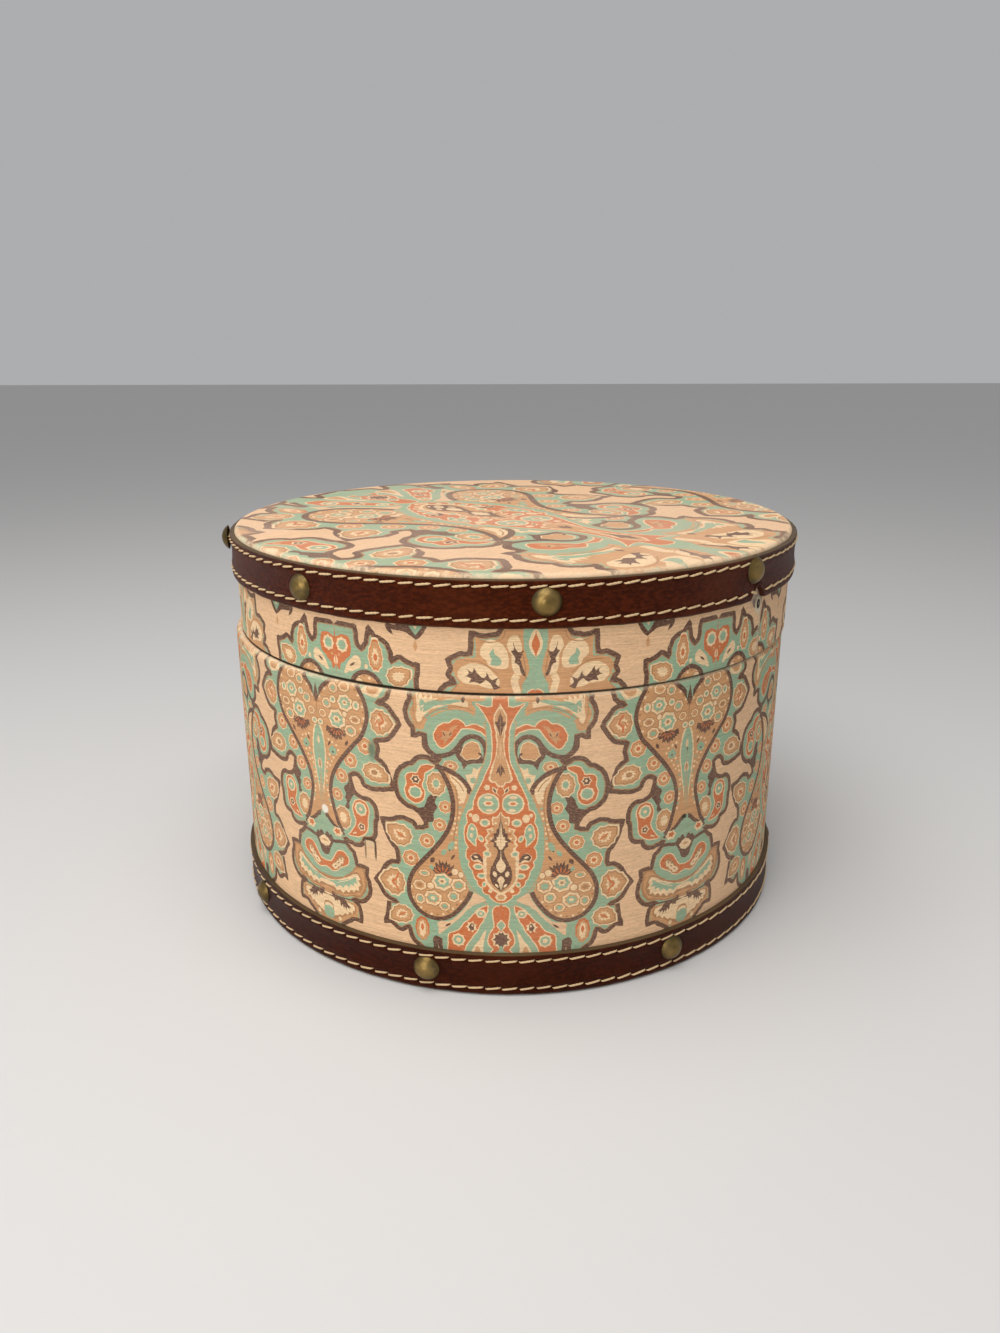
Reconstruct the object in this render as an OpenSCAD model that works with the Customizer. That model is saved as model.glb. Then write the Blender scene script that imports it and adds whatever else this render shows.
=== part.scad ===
// Round collar box: cloth-covered hoops, a lift-off lid on an inner collar,
// and two stitched leather straps held by domed tacks.
// Millimetres, +Z up, origin on the table under the middle of the body.

/* [Body] */
// Outer radius of the cloth on the body
body_r = 125; // [100:1:150]
// Height of the body's rim above the table
body_h = 123.5; // [90:0.5:180]
// Thickness of the body's wooden hoop
hoop_t = 5; // [4.8:0.2:8]
// Rounding of the rim where the lid rests
rim_round = 2.5; // [1:0.25:3]
// Thickness of the base board
base_t = 5; // [3:0.5:10]
// Thickness of the paper glued under the base
paper_t = 0.6; // [0.4:0.1:1.5]
// Width of cloth that shows round the paper
paper_margin = 4; // [2:0.5:10]

/* [Cloth and lining] */
// Thickness of the printed cloth
cloth_t = 0.5; // [0.5:0.1:0.8]
// Thickness of the lining
lining_t = 0.4; // [0.3:0.1:0.8]
// Width of cloth turned in at each edge
turn_in = 9; // [6:0.5:11]

/* [Collar] */
// Thickness of the collar that the lid fits over
collar_t = 2; // [1:0.25:3]
// Height of the collar above the rim
collar_h = 14; // [8:0.5:24]

/* [Lid] */
// Height of the lid
lid_h = 43.7; // [38:0.1:60]
// Thickness of the lid's hoop
lid_hoop_t = 1.6; // [1.6:0.1:3]
// Thickness of the lid's top board
lid_board_t = 3; // [2:0.5:6]
// Rounding of the lid's top edge
lid_round = 2; // [1:0.1:2]
// Rounding of the lid's lower edge
hem_round = 1; // [0.9:0.1:1.4]
// Gap between the lid's lower edge and the rim
seam_gap = 0.3; // [0.2:0.1:1]
// How far the lid sits to the right of the body's middle
lid_shift = 1.7; // [0:0.1:3]
// Gap left between lid and collar on the tight side
lid_slack = 0.4; // [0.3:0.1:1.5]
// How far the lid's top cloth turns down over the side
top_turn = 10; // [6:0.5:16]

/* [Straps] */
// Thickness of the leather
strap_t = 2; // [1.8:0.1:3]
// Width of the strap round the foot
base_strap_w = 17.7; // [14:0.1:24]
// Height of the foot strap's lower edge above the table
base_strap_lift = 0.5; // [0:0.1:2]
// Width of the strap round the lid
lid_strap_w = 17.4; // [14:0.1:24]
// Drop from the lid's top to its strap
lid_strap_drop = 1.8; // [1:0.1:6]
// Rounding of the strap's outer edges
strap_round = 0.5; // [0.2:0.1:0.7]
// Depth of the hollow between the rows of stitches
strap_hollow = 0.4; // [0.1:0.1:0.6]
// Width of the hollow between the rows of stitches
strap_hollow_w = 9; // [6:0.5:10]
// Gap where a strap's two ends meet
strap_join = 0.6; // [0.2:0.1:2]

/* [Stitches] */
// Thickness of the thread
thread_d = 1; // [0.6:0.1:1.2]
// Drop from the foot strap's upper edge to its upper row
base_upper_row = 2.7; // [2:0.1:3.4]
// Distance between the foot strap's rows
base_rows = 12.2; // [11:0.1:13]
// Drop from the lid strap's upper edge to its upper row
lid_upper_row = 2.2; // [1.6:0.1:2.8]
// Distance between the lid strap's rows
lid_rows = 12; // [11:0.1:12.6]

/* [Tacks] */
// Number of tacks in each strap
tacks = 8; // [4:1:12]
// Diameter of a tack's domed head
head_d = 10.6; // [8:0.2:12]
// Height of a tack's domed head
head_h = 3; // [2:0.1:4]
// Thickness of the head's metal
head_t = 0.7; // [0.5:0.1:1]
// Diameter of a tack's pin
pin_d = 1.4; // [1:0.1:2]
// Depth of the foot strap's pins in the hoop
base_bite = 3.5; // [1.5:0.1:4.2]
// Depth of the lid strap's pins in the hoop
lid_bite = 1.2; // [0.8:0.1:1.3]
// Length of a pin's point
pin_point = 1; // [0.4:0.1:1.4]
// Room round a pin in its hole
pin_fit = 0.03; // [0.01:0.01:0.1]
// Turn of the foot strap's first tack from the front
base_tack_turn = -13; // [-45:1:45]
// Turn of the lid strap's first tack from the front
lid_tack_turn = 7; // [-45:1:45]
// How far each foot tack strays round the strap, in degrees
base_tack_stray = [0, 1, 11, 9, 7, 5, 3, 0.5]; // [-12:0.5:12]
// How far each lid tack strays round the strap, in degrees
lid_tack_stray = [0, -3.5, -3, -2, -1, 0, 2, 1]; // [-12:0.5:12]
// How far each foot tack sits above the strap's middle
base_tack_rise = [0.4, 0.5, 0, 0.4, -0.3, 0.5, 0, 0.4]; // [-4:0.1:4]
// How far each lid tack sits above the strap's middle
lid_tack_rise = [1, 3.4, 0.6, 0, 0.5, -0.4, 3.4, -0.2]; // [-4:0.1:4]

/* [Hidden] */
$fn = 96;
eps = 0.01;

// Radii from the outside in
hoop_out = body_r - cloth_t;
hoop_in = hoop_out - hoop_t;
collar_out = hoop_in - cloth_t;
core_out = collar_out - lining_t;
core_in = core_out - collar_t;
room_r = core_in - lining_t;
lid_room_r = collar_out + lid_shift + lid_slack;
lid_hoop_in = lid_room_r + lining_t + cloth_t;
lid_hoop_out = lid_hoop_in + lid_hoop_t;
lid_r = lid_hoop_out + cloth_t;
base_strap_r = body_r + strap_t;
lid_strap_r = lid_r + strap_t;
base_pin = strap_t + cloth_t + base_bite;
lid_pin = strap_t + cloth_t + lid_bite;

// Heights from the table up
foot_z = paper_t + cloth_t;
floor_z = foot_z + base_t;
collar_top = body_h + collar_h;
lid_z = body_h + seam_gap;
lid_top = lid_z + lid_h;
board_top = lid_top - cloth_t;
board_z = board_top - lid_board_t;
side_top = lid_top - top_turn;
base_strap_top = base_strap_lift + base_strap_w;
lid_strap_top = lid_top - lid_strap_drop;
lid_strap_z = lid_strap_top - lid_strap_w;

cloth_c = "burlywood";
wood_c = "peru";
lining_c = "antiquewhite";
leather_c = "saddlebrown";
thread_c = "cornsilk";
brass_c = "darkkhaki";

// Section of a ring whose outer corners are rounded
module section(inner, outer, low, high, top_round = 0, low_round = 0) {
    middle = (low + high) / 2;
    translate([inner, middle])
        square([outer - inner - top_round, high - middle]);
    translate([inner, low])
        square([outer - inner - low_round, middle - low]);
    translate([inner, low + low_round])
        square([outer - inner, high - low - low_round - top_round]);
    if (top_round > 0)
        translate([outer - top_round, high - top_round]) quarter(top_round);
    if (low_round > 0)
        translate([outer - low_round, low + low_round]) mirror([0, 1]) quarter(low_round);
}

module quarter(r) {
    intersection() {
        circle(r = r);
        square(r);
    }
}

module disc(r, low, thickness) {
    translate([0, 0, low]) cylinder(r = r, h = thickness);
}

function tack_turn(first, stray, i) = first + i * 360 / tacks + stray[i % len(stray)];

// Puts its children at each tack, with +Z pointing out through the head
module at_tacks(first, stray, rise, face_r, middle_z) {
    for (i = [0:tacks - 1])
        rotate([0, 0, tack_turn(first, stray, i) - 90])
            translate([face_r, 0, middle_z + rise[i % len(rise)]])
                rotate([0, 90, 0]) children();
}

module at_base_tacks() {
    at_tacks(base_tack_turn, base_tack_stray, base_tack_rise, base_strap_r,
        base_strap_lift + base_strap_w / 2) children();
}

module at_lid_tacks() {
    translate([lid_shift, 0, 0])
        at_tacks(lid_tack_turn, lid_tack_stray, lid_tack_rise, lid_strap_r,
            lid_strap_z + lid_strap_w / 2) children();
}

// Hollow domed head on a pointed pin, with the strap's face at zero
module tack(pin) {
    rise = head_h - head_t;
    outer = (head_d * head_d / 4 + head_h * head_h) / (2 * head_h);
    inner_d = head_d - 2 * head_t;
    inner = (inner_d * inner_d / 4 + rise * rise) / (2 * rise);
    rotate_extrude() {
        difference() {
            intersection() {
                translate([0, head_h - outer]) circle(r = outer);
                square([head_d, head_h]);
            }
            translate([0, rise - inner]) circle(r = inner);
        }
        translate([0, pin_point - pin]) square([pin_d / 2, pin - pin_point + rise + head_t / 2]);
        polygon([[0, -pin], [pin_d / 2, pin_point - pin], [0, pin_point - pin]]);
    }
}

module pin_hole(pin) {
    translate([0, 0, -pin - pin_fit])
        cylinder(r = pin_d / 2 + pin_fit, h = pin + pin_fit + eps);
}

// Strap section, hollow between its rows, with a channel for each thread
module strap_section(inner, face_r, low, high, upper_row, rows) {
    bow = (strap_hollow_w * strap_hollow_w / 4 + strap_hollow * strap_hollow)
        / (2 * strap_hollow);
    row_z = high - upper_row;
    difference() {
        section(inner, face_r, low, high, strap_round, strap_round);
        translate([face_r - strap_hollow + bow, row_z - rows / 2]) circle(r = bow, $fn = 180);
        for (z = [row_z, row_z - rows]) {
            translate([face_r - thread_d / 2, z]) circle(r = thread_d / 2);
            translate([face_r - thread_d / 2, z - thread_d / 2]) square(thread_d);
        }
    }
}

module strap(inner, face_r, low, high, upper_row, rows, join_turn) {
    join_angle = strap_join / face_r * 180 / PI;
    rotate([0, 0, join_turn - 90 + join_angle / 2])
        rotate_extrude(angle = 360 - join_angle)
            strap_section(inner, face_r, low, high, upper_row, rows);
}

module thread(face_r, z) {
    rotate_extrude() translate([face_r - thread_d / 2, z]) circle(r = thread_d / 2);
}

module body_hoop() {
    color(wood_c) difference() {
        rotate_extrude()
            section(hoop_in, hoop_out, foot_z, body_h - cloth_t, rim_round - cloth_t);
        at_base_tacks() pin_hole(base_pin);
    }
}

module base_board() {
    color(wood_c) disc(hoop_in, foot_z, base_t);
}

module under_paper() {
    color("dimgray") disc(body_r - paper_margin, 0, paper_t);
}

module body_cloth() {
    color(cloth_c) difference() {
        rotate_extrude() difference() {
            union() {
                section(collar_out, body_r, paper_t, body_h, rim_round);
                translate([hoop_in - turn_in, paper_t]) square([turn_in + hoop_t, cloth_t]);
            }
            section(hoop_in, hoop_out, foot_z, body_h - cloth_t, rim_round - cloth_t);
            translate([0, foot_z]) square([hoop_in, body_h - turn_in - foot_z]);
        }
        at_base_tacks() pin_hole(base_pin);
    }
}

module collar() {
    color(wood_c) rotate_extrude()
        section(core_in, core_out, floor_z, collar_top - lining_t);
}

module collar_lining() {
    color(lining_c) rotate_extrude() difference() {
        section(room_r, collar_out, floor_z, collar_top);
        section(core_in, core_out, floor_z - eps, collar_top - lining_t);
    }
}

module floor_lining() {
    color(lining_c) disc(room_r, floor_z, lining_t);
}

module base_strap() {
    color(leather_c) difference() {
        strap(body_r, base_strap_r, base_strap_lift, base_strap_top, base_upper_row,
            base_rows, tack_turn(base_tack_turn, base_tack_stray, 2));
        at_base_tacks() pin_hole(base_pin);
    }
}

module base_stitches_upper() {
    color(thread_c) thread(base_strap_r, base_strap_top - base_upper_row);
}

module base_stitches_lower() {
    color(thread_c) thread(base_strap_r, base_strap_top - base_upper_row - base_rows);
}

module base_tacks() {
    color(brass_c) at_base_tacks() tack(base_pin);
}

module lid_hoop() {
    color(wood_c) difference() {
        translate([lid_shift, 0, 0]) rotate_extrude()
            section(lid_hoop_in, lid_hoop_out, lid_z + cloth_t, board_top,
                lid_round - cloth_t, hem_round - cloth_t);
        at_lid_tacks() pin_hole(lid_pin);
    }
}

module lid_board() {
    color(wood_c) translate([lid_shift, 0, 0]) disc(lid_hoop_in, board_z, lid_board_t);
}

module lid_top_cloth() {
    color(cloth_c) difference() {
        translate([lid_shift, 0, 0]) rotate_extrude() difference() {
            section(0, lid_r, side_top, lid_top, lid_round);
            section(0, lid_hoop_out, side_top - lid_round, board_top, lid_round - cloth_t);
        }
        at_lid_tacks() pin_hole(lid_pin);
    }
}

module lid_side_cloth() {
    inner = lid_hoop_in - cloth_t;
    color(cloth_c) difference() {
        translate([lid_shift, 0, 0]) rotate_extrude() difference() {
            section(inner, lid_r, lid_z, side_top, 0, hem_round);
            section(lid_hoop_in, lid_hoop_out, lid_z + cloth_t, lid_top, 0,
                hem_round - cloth_t);
            translate([0, lid_z + turn_in]) square([lid_hoop_in, lid_h]);
        }
        at_lid_tacks() pin_hole(lid_pin);
    }
}

module lid_side_lining() {
    color(lining_c) translate([lid_shift, 0, 0]) rotate_extrude()
        section(lid_room_r, lid_room_r + lining_t, lid_z + hem_round, board_z - lining_t);
}

module lid_top_lining() {
    color(lining_c) translate([lid_shift, 0, 0])
        disc(lid_room_r + lining_t, board_z - lining_t, lining_t);
}

module lid_strap() {
    color(leather_c) difference() {
        translate([lid_shift, 0, 0])
            strap(lid_r, lid_strap_r, lid_strap_z, lid_strap_top, lid_upper_row, lid_rows,
                tack_turn(lid_tack_turn, lid_tack_stray, 1));
        at_lid_tacks() pin_hole(lid_pin);
    }
}

module lid_stitches_upper() {
    color(thread_c) translate([lid_shift, 0, 0])
        thread(lid_strap_r, lid_strap_top - lid_upper_row);
}

module lid_stitches_lower() {
    color(thread_c) translate([lid_shift, 0, 0])
        thread(lid_strap_r, lid_strap_top - lid_upper_row - lid_rows);
}

module lid_tacks() {
    color(brass_c) at_lid_tacks() tack(lid_pin);
}

body_hoop();
base_board();
under_paper();
body_cloth();
collar();
collar_lining();
floor_lining();
base_strap();
base_stitches_upper();
base_stitches_lower();
base_tacks();
lid_hoop();
lid_board();
lid_top_cloth();
lid_side_cloth();
lid_side_lining();
lid_top_lining();
lid_strap();
lid_stitches_upper();
lid_stitches_lower();
lid_tacks();
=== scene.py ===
import math
import random

import bmesh
import bpy
import numpy as np
from mathutils import Matrix, Vector
from mathutils.geometry import delaunay_2d_cdt


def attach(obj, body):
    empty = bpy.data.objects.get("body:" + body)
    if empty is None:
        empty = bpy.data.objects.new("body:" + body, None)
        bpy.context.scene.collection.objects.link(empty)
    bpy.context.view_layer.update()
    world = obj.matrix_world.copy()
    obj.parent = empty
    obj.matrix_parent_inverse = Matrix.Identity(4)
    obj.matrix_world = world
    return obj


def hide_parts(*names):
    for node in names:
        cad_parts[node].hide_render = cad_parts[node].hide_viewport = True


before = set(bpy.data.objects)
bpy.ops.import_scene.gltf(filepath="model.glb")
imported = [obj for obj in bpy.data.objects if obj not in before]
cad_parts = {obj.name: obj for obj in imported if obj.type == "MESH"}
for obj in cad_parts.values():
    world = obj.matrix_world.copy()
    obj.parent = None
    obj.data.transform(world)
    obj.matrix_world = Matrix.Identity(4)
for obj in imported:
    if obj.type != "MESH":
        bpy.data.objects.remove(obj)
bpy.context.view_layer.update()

random.seed(5)

# lengths shared by several pieces, in millimetres
box = dict(bodyR=125.0, lidR=124.1, lidShift=1.7, rimZ=123.5, lidZ=123.8, lidTop=167.5, sideTop=157.5,
           baseStrapR=127.0, lidStrapR=126.1, baseStrapMid=9.35, lidStrapMid=157.0)


# ---------- camera, floor and light ----------

def addCamera():
    bpy.ops.object.camera_add(location=(0.01423, -0.45857, 0.24249))
    camera = bpy.context.object
    right = Vector((0.99923128, 0.03904699, -0.00349004))
    up = Vector((-0.00869496, 0.307553, 0.95149122))
    back = right.cross(up)
    camera.rotation_euler = Matrix((right, up, back)).transposed().to_euler()
    camera.data.lens = 27.0
    camera.data.sensor_width = 36.0
    camera.data.clip_start = 0.01
    bpy.context.scene.camera = camera


def addSoftLight(name, place, size, watts, tint):
    bpy.ops.object.light_add(type="AREA", location=place)
    lamp = bpy.context.object
    lamp.name = name
    lamp.data.shape = "RECTANGLE"
    lamp.data.size, lamp.data.size_y = size
    lamp.data.energy = watts
    lamp.data.color = tint
    lamp.rotation_euler = (Vector((0, 0, 0.08)) - Vector(place)).to_track_quat("-Z", "Y").to_euler()


def addStage():
    floor = dict(half=6.0, tint=(0.62, 0.61, 0.60))
    bpy.ops.mesh.primitive_plane_add(size=floor["half"] * 2, location=(0, 0, 0))
    plane = bpy.context.object
    plane.name = "floor"
    paint = bpy.data.materials.new("paleFloor")
    paint.use_nodes = True
    shader = paint.node_tree.nodes["Principled BSDF"]
    shader.inputs["Base Color"].default_value = (*floor["tint"], 1)
    shader.inputs["Roughness"].default_value = 0.8
    plane.data.materials.append(paint)
    world = bpy.data.worlds.new("studio")
    world.use_nodes = True
    sky = world.node_tree.nodes["Background"]
    sky.inputs["Color"].default_value = (0.97, 0.98, 1.0, 1)
    sky.inputs["Strength"].default_value = 0.43
    bpy.context.scene.world = world
    addSoftLight("overheadPanel", (-0.15, -0.25, 0.95), (0.8, 0.8), 7.4, (1.0, 0.98, 0.96))
    addSoftLight("leftPanel", (-0.50, -0.97, 0.42), (0.7, 0.8), 5.0, (1.0, 0.97, 0.93))
    addSoftLight("rightPanel", (0.95, -0.25, 0.5), (0.6, 0.9), 0.3, (0.96, 0.98, 1.0))


addCamera()
addStage()
bpy.context.scene.view_settings.view_transform = "Standard"
print("camera, floor and light are up")


# ---------- the printed pattern ----------
# Half of one repeat, in millimetres: across from the middle of the vase motif, and up from the table.
# The other half mirrors it.

halfRepeat = 75.4
leanTop, leanFoot = -0.6, 1.8  # how far the right-hand motif leans, at its top and its foot
dyes = dict(ground=(0.785, 0.503, 0.288), plum=(0.084, 0.033, 0.023), aqua=(0.250, 0.425, 0.275),
            orange=(0.585, 0.138, 0.032), tan=(0.590, 0.296, 0.124), cream=(0.860, 0.615, 0.355),
            ochre=(0.400, 0.190, 0.075))
dyeNames = list(dyes)
printed = []  # (dye number, outline), the lowest first
printHand = random.Random(11)


def lean(z):
    return np.clip(leanTop + (95.0 - z) / 45.0 * (leanFoot - leanTop), leanTop, leanFoot)


def points(text):
    # "across,up" words in millimetres, with a star at each sharp corner
    found = []
    for word in text.split():
        corner = word.endswith("*")
        across, up = word.rstrip("*").split(",")
        found.append((float(across), float(up), corner))
    return found


def rounded(found, closed=True, step=1.0):
    # a smooth line through the points, with a sharp turn at each corner
    count = len(found)
    line = []
    spans = count if closed else count - 1
    for i in range(spans):
        here, there = found[i], found[(i + 1) % count]
        before = found[i - 1] if (closed or i > 0) else here
        after = found[(i + 2) % count] if (closed or i + 2 < count) else there
        a, b = np.array(here[:2]), np.array(there[:2])
        span = np.linalg.norm(b - a)
        tangentA = np.array((0.0, 0.0)) if here[2] else (b - np.array(before[:2])) * 0.5
        tangentB = np.array((0.0, 0.0)) if there[2] else (np.array(after[:2]) - a) * 0.5
        for tangent in (tangentA, tangentB):
            reach = np.linalg.norm(tangent)
            if reach > span:
                tangent *= span / reach
        if here[2]:
            tangentA = (b - a) * 0.6
        if there[2]:
            tangentB = (b - a) * 0.6
        parts = max(1, int(round(span / step)))
        for j in range(parts):
            t = j / parts
            line.append((2 * t**3 - 3 * t**2 + 1) * a + (t**3 - 2 * t**2 + t) * tangentA
                        + (3 * t**2 - 2 * t**3) * b + (t**3 - t**2) * tangentB)
    if not closed:
        line.append(np.array(found[-1][:2]))
    return np.array(line)


def path(text, step=1.1):
    # the printed edge steps from thread to thread, so it isn't quite even
    line = rounded(points(text), True, step)
    return line + np.array([(printHand.gauss(0, 0.10), printHand.gauss(0, 0.10)) for _ in line])


def grown(outline, by):
    # the outline moved outwards by that far, or inwards if less than zero
    ahead, behind = np.roll(outline, -1, 0), np.roll(outline, 1, 0)
    along = ahead - behind
    along /= np.maximum(np.linalg.norm(along, axis=1), 1e-9)[:, None]
    area = np.sum(outline[:, 0] * ahead[:, 1] - ahead[:, 0] * outline[:, 1])
    side = np.stack((along[:, 1], -along[:, 0]), 1) * (1 if area > 0 else -1)
    moved = outline + side * by
    # a point that comes nearer than that to another part of the outline is dropped
    gaps = np.linalg.norm(moved[:, None, :] - outline[None, :, :], axis=2).min(1)
    kept = gaps > abs(by) * 0.86
    return moved[kept] if kept.sum() > 3 else moved


def stroke(text, width, endWidth=None, step=1.0):
    line = rounded(points(text), False, step)
    along = np.gradient(line, axis=0)
    along /= np.linalg.norm(along, axis=1)[:, None]
    side = np.stack((along[:, 1], -along[:, 0]), 1)
    widths = np.full(len(line), width / 2)
    if endWidth is not None:
        widths = np.linspace(width / 2, endWidth / 2, len(line))
    return np.concatenate((line + side * widths[:, None], (line - side * widths[:, None])[::-1]))


def blob(across, up, wide, tall, lobes=0, depth=0.12, turn=0.0, parts=None, tip=None):
    # an oval, scalloped if it has lobes, and drawn out to one side if it has a tip
    parts = parts or (max(10, lobes * 3) if lobes else max(7, int(2.0 * (wide + tall))))
    around = np.arange(parts) * 2 * math.pi / parts
    swell = 1 + depth * np.cos(lobes * around) if lobes else np.ones(parts)
    if tip is not None:
        swell = swell + 0.42 * np.maximum(np.cos(around - math.radians(tip)), 0) ** 7
    x, y = wide * swell * np.cos(around), tall * swell * np.sin(around)
    c, s = math.cos(math.radians(turn)), math.sin(math.radians(turn))
    return np.stack((across + x * c - y * s, up + x * s + y * c), 1)


def leaf(across, up, long, wide, turn=0.0, parts=7):
    # pointed at both ends
    t = np.linspace(0, 1, parts)
    swell = np.sin(math.pi * t) * wide / 2
    x = np.concatenate(((t - 0.5) * long, ((t - 0.5) * long)[-2:0:-1]))
    y = np.concatenate((swell, -swell[-2:0:-1]))
    c, s = math.cos(math.radians(turn)), math.sin(math.radians(turn))
    return np.stack((across + x * c - y * s, up + x * s + y * c), 1)


def dye(name, *outlines):
    for outline in outlines:
        printed.append((dyeNames.index(name), outline))


def edged(name, outline, edge="cream", width=0.45):
    dye(edge, grown(outline, width))
    dye(name, outline)


def flower(across, up, wide, tall=None, lobes=8, heart="orange", rim="ochre", tip=None):
    # rings of dye, one within the other
    tall = tall or wide
    for name, share, depth in (("cream", 1.0, 0.07), (rim, 0.88, 0.07), ("tan", 0.78, 0.09), ("cream", 0.45, 0.22), (heart, 0.27, 0.0)):
        dye(name, blob(across, up, wide * share, tall * share, lobes if depth else 0, depth, tip=tip if share > 0.4 else None))


def beads(text, size, gap, names=("cream",)):
    # a row of dots along a line
    line = rounded(points(text), False, 0.5)
    far = np.concatenate(((0,), np.cumsum(np.linalg.norm(np.diff(line, axis=0), axis=1))))
    for i, at in enumerate(np.arange(gap / 2, far[-1], gap)):
        across, up = np.interp(at, far, line[:, 0]), np.interp(at, far, line[:, 1])
        dye(names[i % len(names)], blob(across, up, size, size, parts=6))


def banded(outline, *bands):
    # lines that follow the edge inside it
    for depth, name in bands:
        dye(name, grown(outline, -depth))


def drawVaseMotif():
    whole = path("-4,160* 9,160* 11,149 13,146.2* 18,145.4 22.3,146.6* 22.3,142 22.6,138.6* 26.5,138.4 30.7,136*"
                 " 29.6,133.2 30.6,130.6* 28,127.6* 31.5,126.6 34,123.6* 33.1,121* 34.8,118.2 35.2,115 34.2,112 32.8,110*"
                 " 32.4,108 32.6,106.4* 30,107.4 27.8,107.2* 28.4,104 27,101.6 24.6,99.2 22.6,98* 24.6,97.2 27,98.6 29.4,98.6"
                 " 31.6,97.6 33.6,95.6* 36,94.8 38.6,92.4 40,89 40.2,85 39,81 36.4,78.6 33,77.4 31,76 29.2,73.6 28,70.6*"
                 " 30,70 32,69.6* 33.6,71.8 38.4,72.8 42.4,71.4 46.8,71* 45.2,67 43.6,62.6 40.6,59* 40.2,56.4 40.4,53.6*"
                 " 43,53.4 45.4,51.6 47.4,48 50.6,44* 48.4,41.4 46.8,38.4 44,36.6 41,36.4* 44.4,35.8 45.2,33 45.8,29.6 47.2,25.8*"
                 " 44.4,26.6 40.4,24 36.6,26* 35.6,22 34,19.6 31,18* 34.4,16.4* 30,15 24.4,12* 22,8 16,5* 14,10 11.6,13*"
                 " 10,7.6* 4,5.6 0,4* -4,5*")
    dye("plum", grown(whole, 0.9))
    dye("ochre", grown(whole, -0.9))
    dye("aqua", grown(whole, -1.25))
    # the upper palmette, on the lid's side
    dye("tan", path("4.6,150 9,150 11.4,147 12.6,144.6* 17,143.8 20.8,144.8* 20.6,140 21,137.2* 25,137 28.4,135 28,130 26.4,127.8"
                    " 29,125.4 31.6,122.6 31.6,120 33,117.4 33.4,114.8 32.4,112 31.2,109.6 28.6,109.4 27.2,112.6 24,115 20,117.2"
                    " 16,118 12,117.2 9.4,116 9,119 10.4,121 5.2,122 4.6,127 2.4,132 2.6,136.6 4,141"))
    dye("cream", path("5.2,138 4.8,142 6.4,145.6 8.8,145 9.8,141.6 8.4,138.4 8.2,134 6.6,131 4.4,131.4 5.2,134.6"),
        path("9.6,134 9.6,139 11.8,142.6 15.6,144 18.2,142.2 19.2,138.4 17.2,136.6 15.8,134.2 12.6,133.4"),
        path("12.4,127.6 13.4,130.6 16.4,133.6 19.4,135 23,135 26.4,133 27,129.8 25,127.8 21,127.2 16,126"),
        stroke("6,122.6 6.6,126 7.4,129 6.4,131", 2.6), stroke("11.6,120 18,120.8 23,119.2 27,118.2 30,115.4 29.4,112.4", 2.2))
    dye("aqua", path("12,134.6 12.2,137 14.2,139 14.6,140.8* 16,139 15.2,136.6 15.6,134.8"),
        stroke("19,118.8 22.4,117.5 25.4,115.6", 1.7, 1.0), blob(26.6, 114.8, 1.4, 1.4),
        path("-4,149* 3.4,149* 4.4,145 3.2,139.6 2,136.4 1.8,132.6 3.6,129 4.8,125 5,121 -4,121*"))
    dye("cream", path("0,148 1.9,145.4 2.4,142.6 1.8,139.8 0,137.6* -1.8,139.8 -2.4,142.6 -1.9,145.4"))
    dye("orange", path("0,146.6* 1.2,143.6 1.3,141 0,139* -1.3,141 -1.2,143.6"))
    dye("plum", path("3.2,130* 4.4,134 5.2,137 4,140.4* 6.2,139.4 7.9,143.4* 7.6,140.4 8.6,140* 7,137.2 7.4,135.6* 5.8,134.6 5.2,132"))
    dye("plum", path("12,126.4* 13.9,128 12.6,130.2* 15.4,129.2 16.8,131.8* 17.8,129.8 19.5,130.8 21.4,133.6* 22,131.8"
                     " 24,133.2* 23,131.2 24.9,130.4* 22.4,129.6 23.2,128* 21,128.3 19.5,127.6 17.5,129 15.6,127.8 14.2,125.4*"))
    dye("tan", path("13.6,122.6 16,125 19,127 22,127 25,125.4 27,122.8 20,123.6"))
    dye("ochre", stroke("31.6,123.4 31.9,120 32.1,116.6 31.4,112.6 29.8,111.2 28.2,113.6 25,116.2 20.4,118.2 16,119 12,118.6 9.8,117.6", 0.35))
    dye("cream", path("30.9,123.4* 30.6,119 30.6,115.6 29,114.2 27,115.6 24.2,117.9 20,119.4 15,120 11.6,120* 14.6,120.9 19,120.6 23.6,120.2"
                      " 22.6,122.2* 24.6,121.2 24.8,123 26.4,121.4 26.8,123.2* 28.2,121.6 28.8,123.4*"))
    dye("aqua", path("13.2,121.4* 18,119.9 23.4,119 26.6,116.8 28.9,116.4 29.6,118.4 29,121 27.4,119.8 25.2,120.6 20.6,121.2 16.4,121.8"))
    dye("cream", stroke("28.8,115.2 28.2,117.6", 0.5), stroke("29.8,117.4 28,118.8", 0.5))
    dye("ochre", stroke("13,131.4 17,134.6 20.4,136 24.6,136", 0.35), stroke("27.4,126.6 29.9,123.6 30.2,121.6", 0.35),
        stroke("10.4,147.4 11.6,144.2 15.6,143 19.4,143.8", 0.35), stroke("3.4,129.6 3.6,134 4.6,139.4", 0.35))
    dye("plum", leaf(13.4, 121.9, 3.0, 1.4, 90), blob(14.8, 111.4, 1.0, 0.9))
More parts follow.
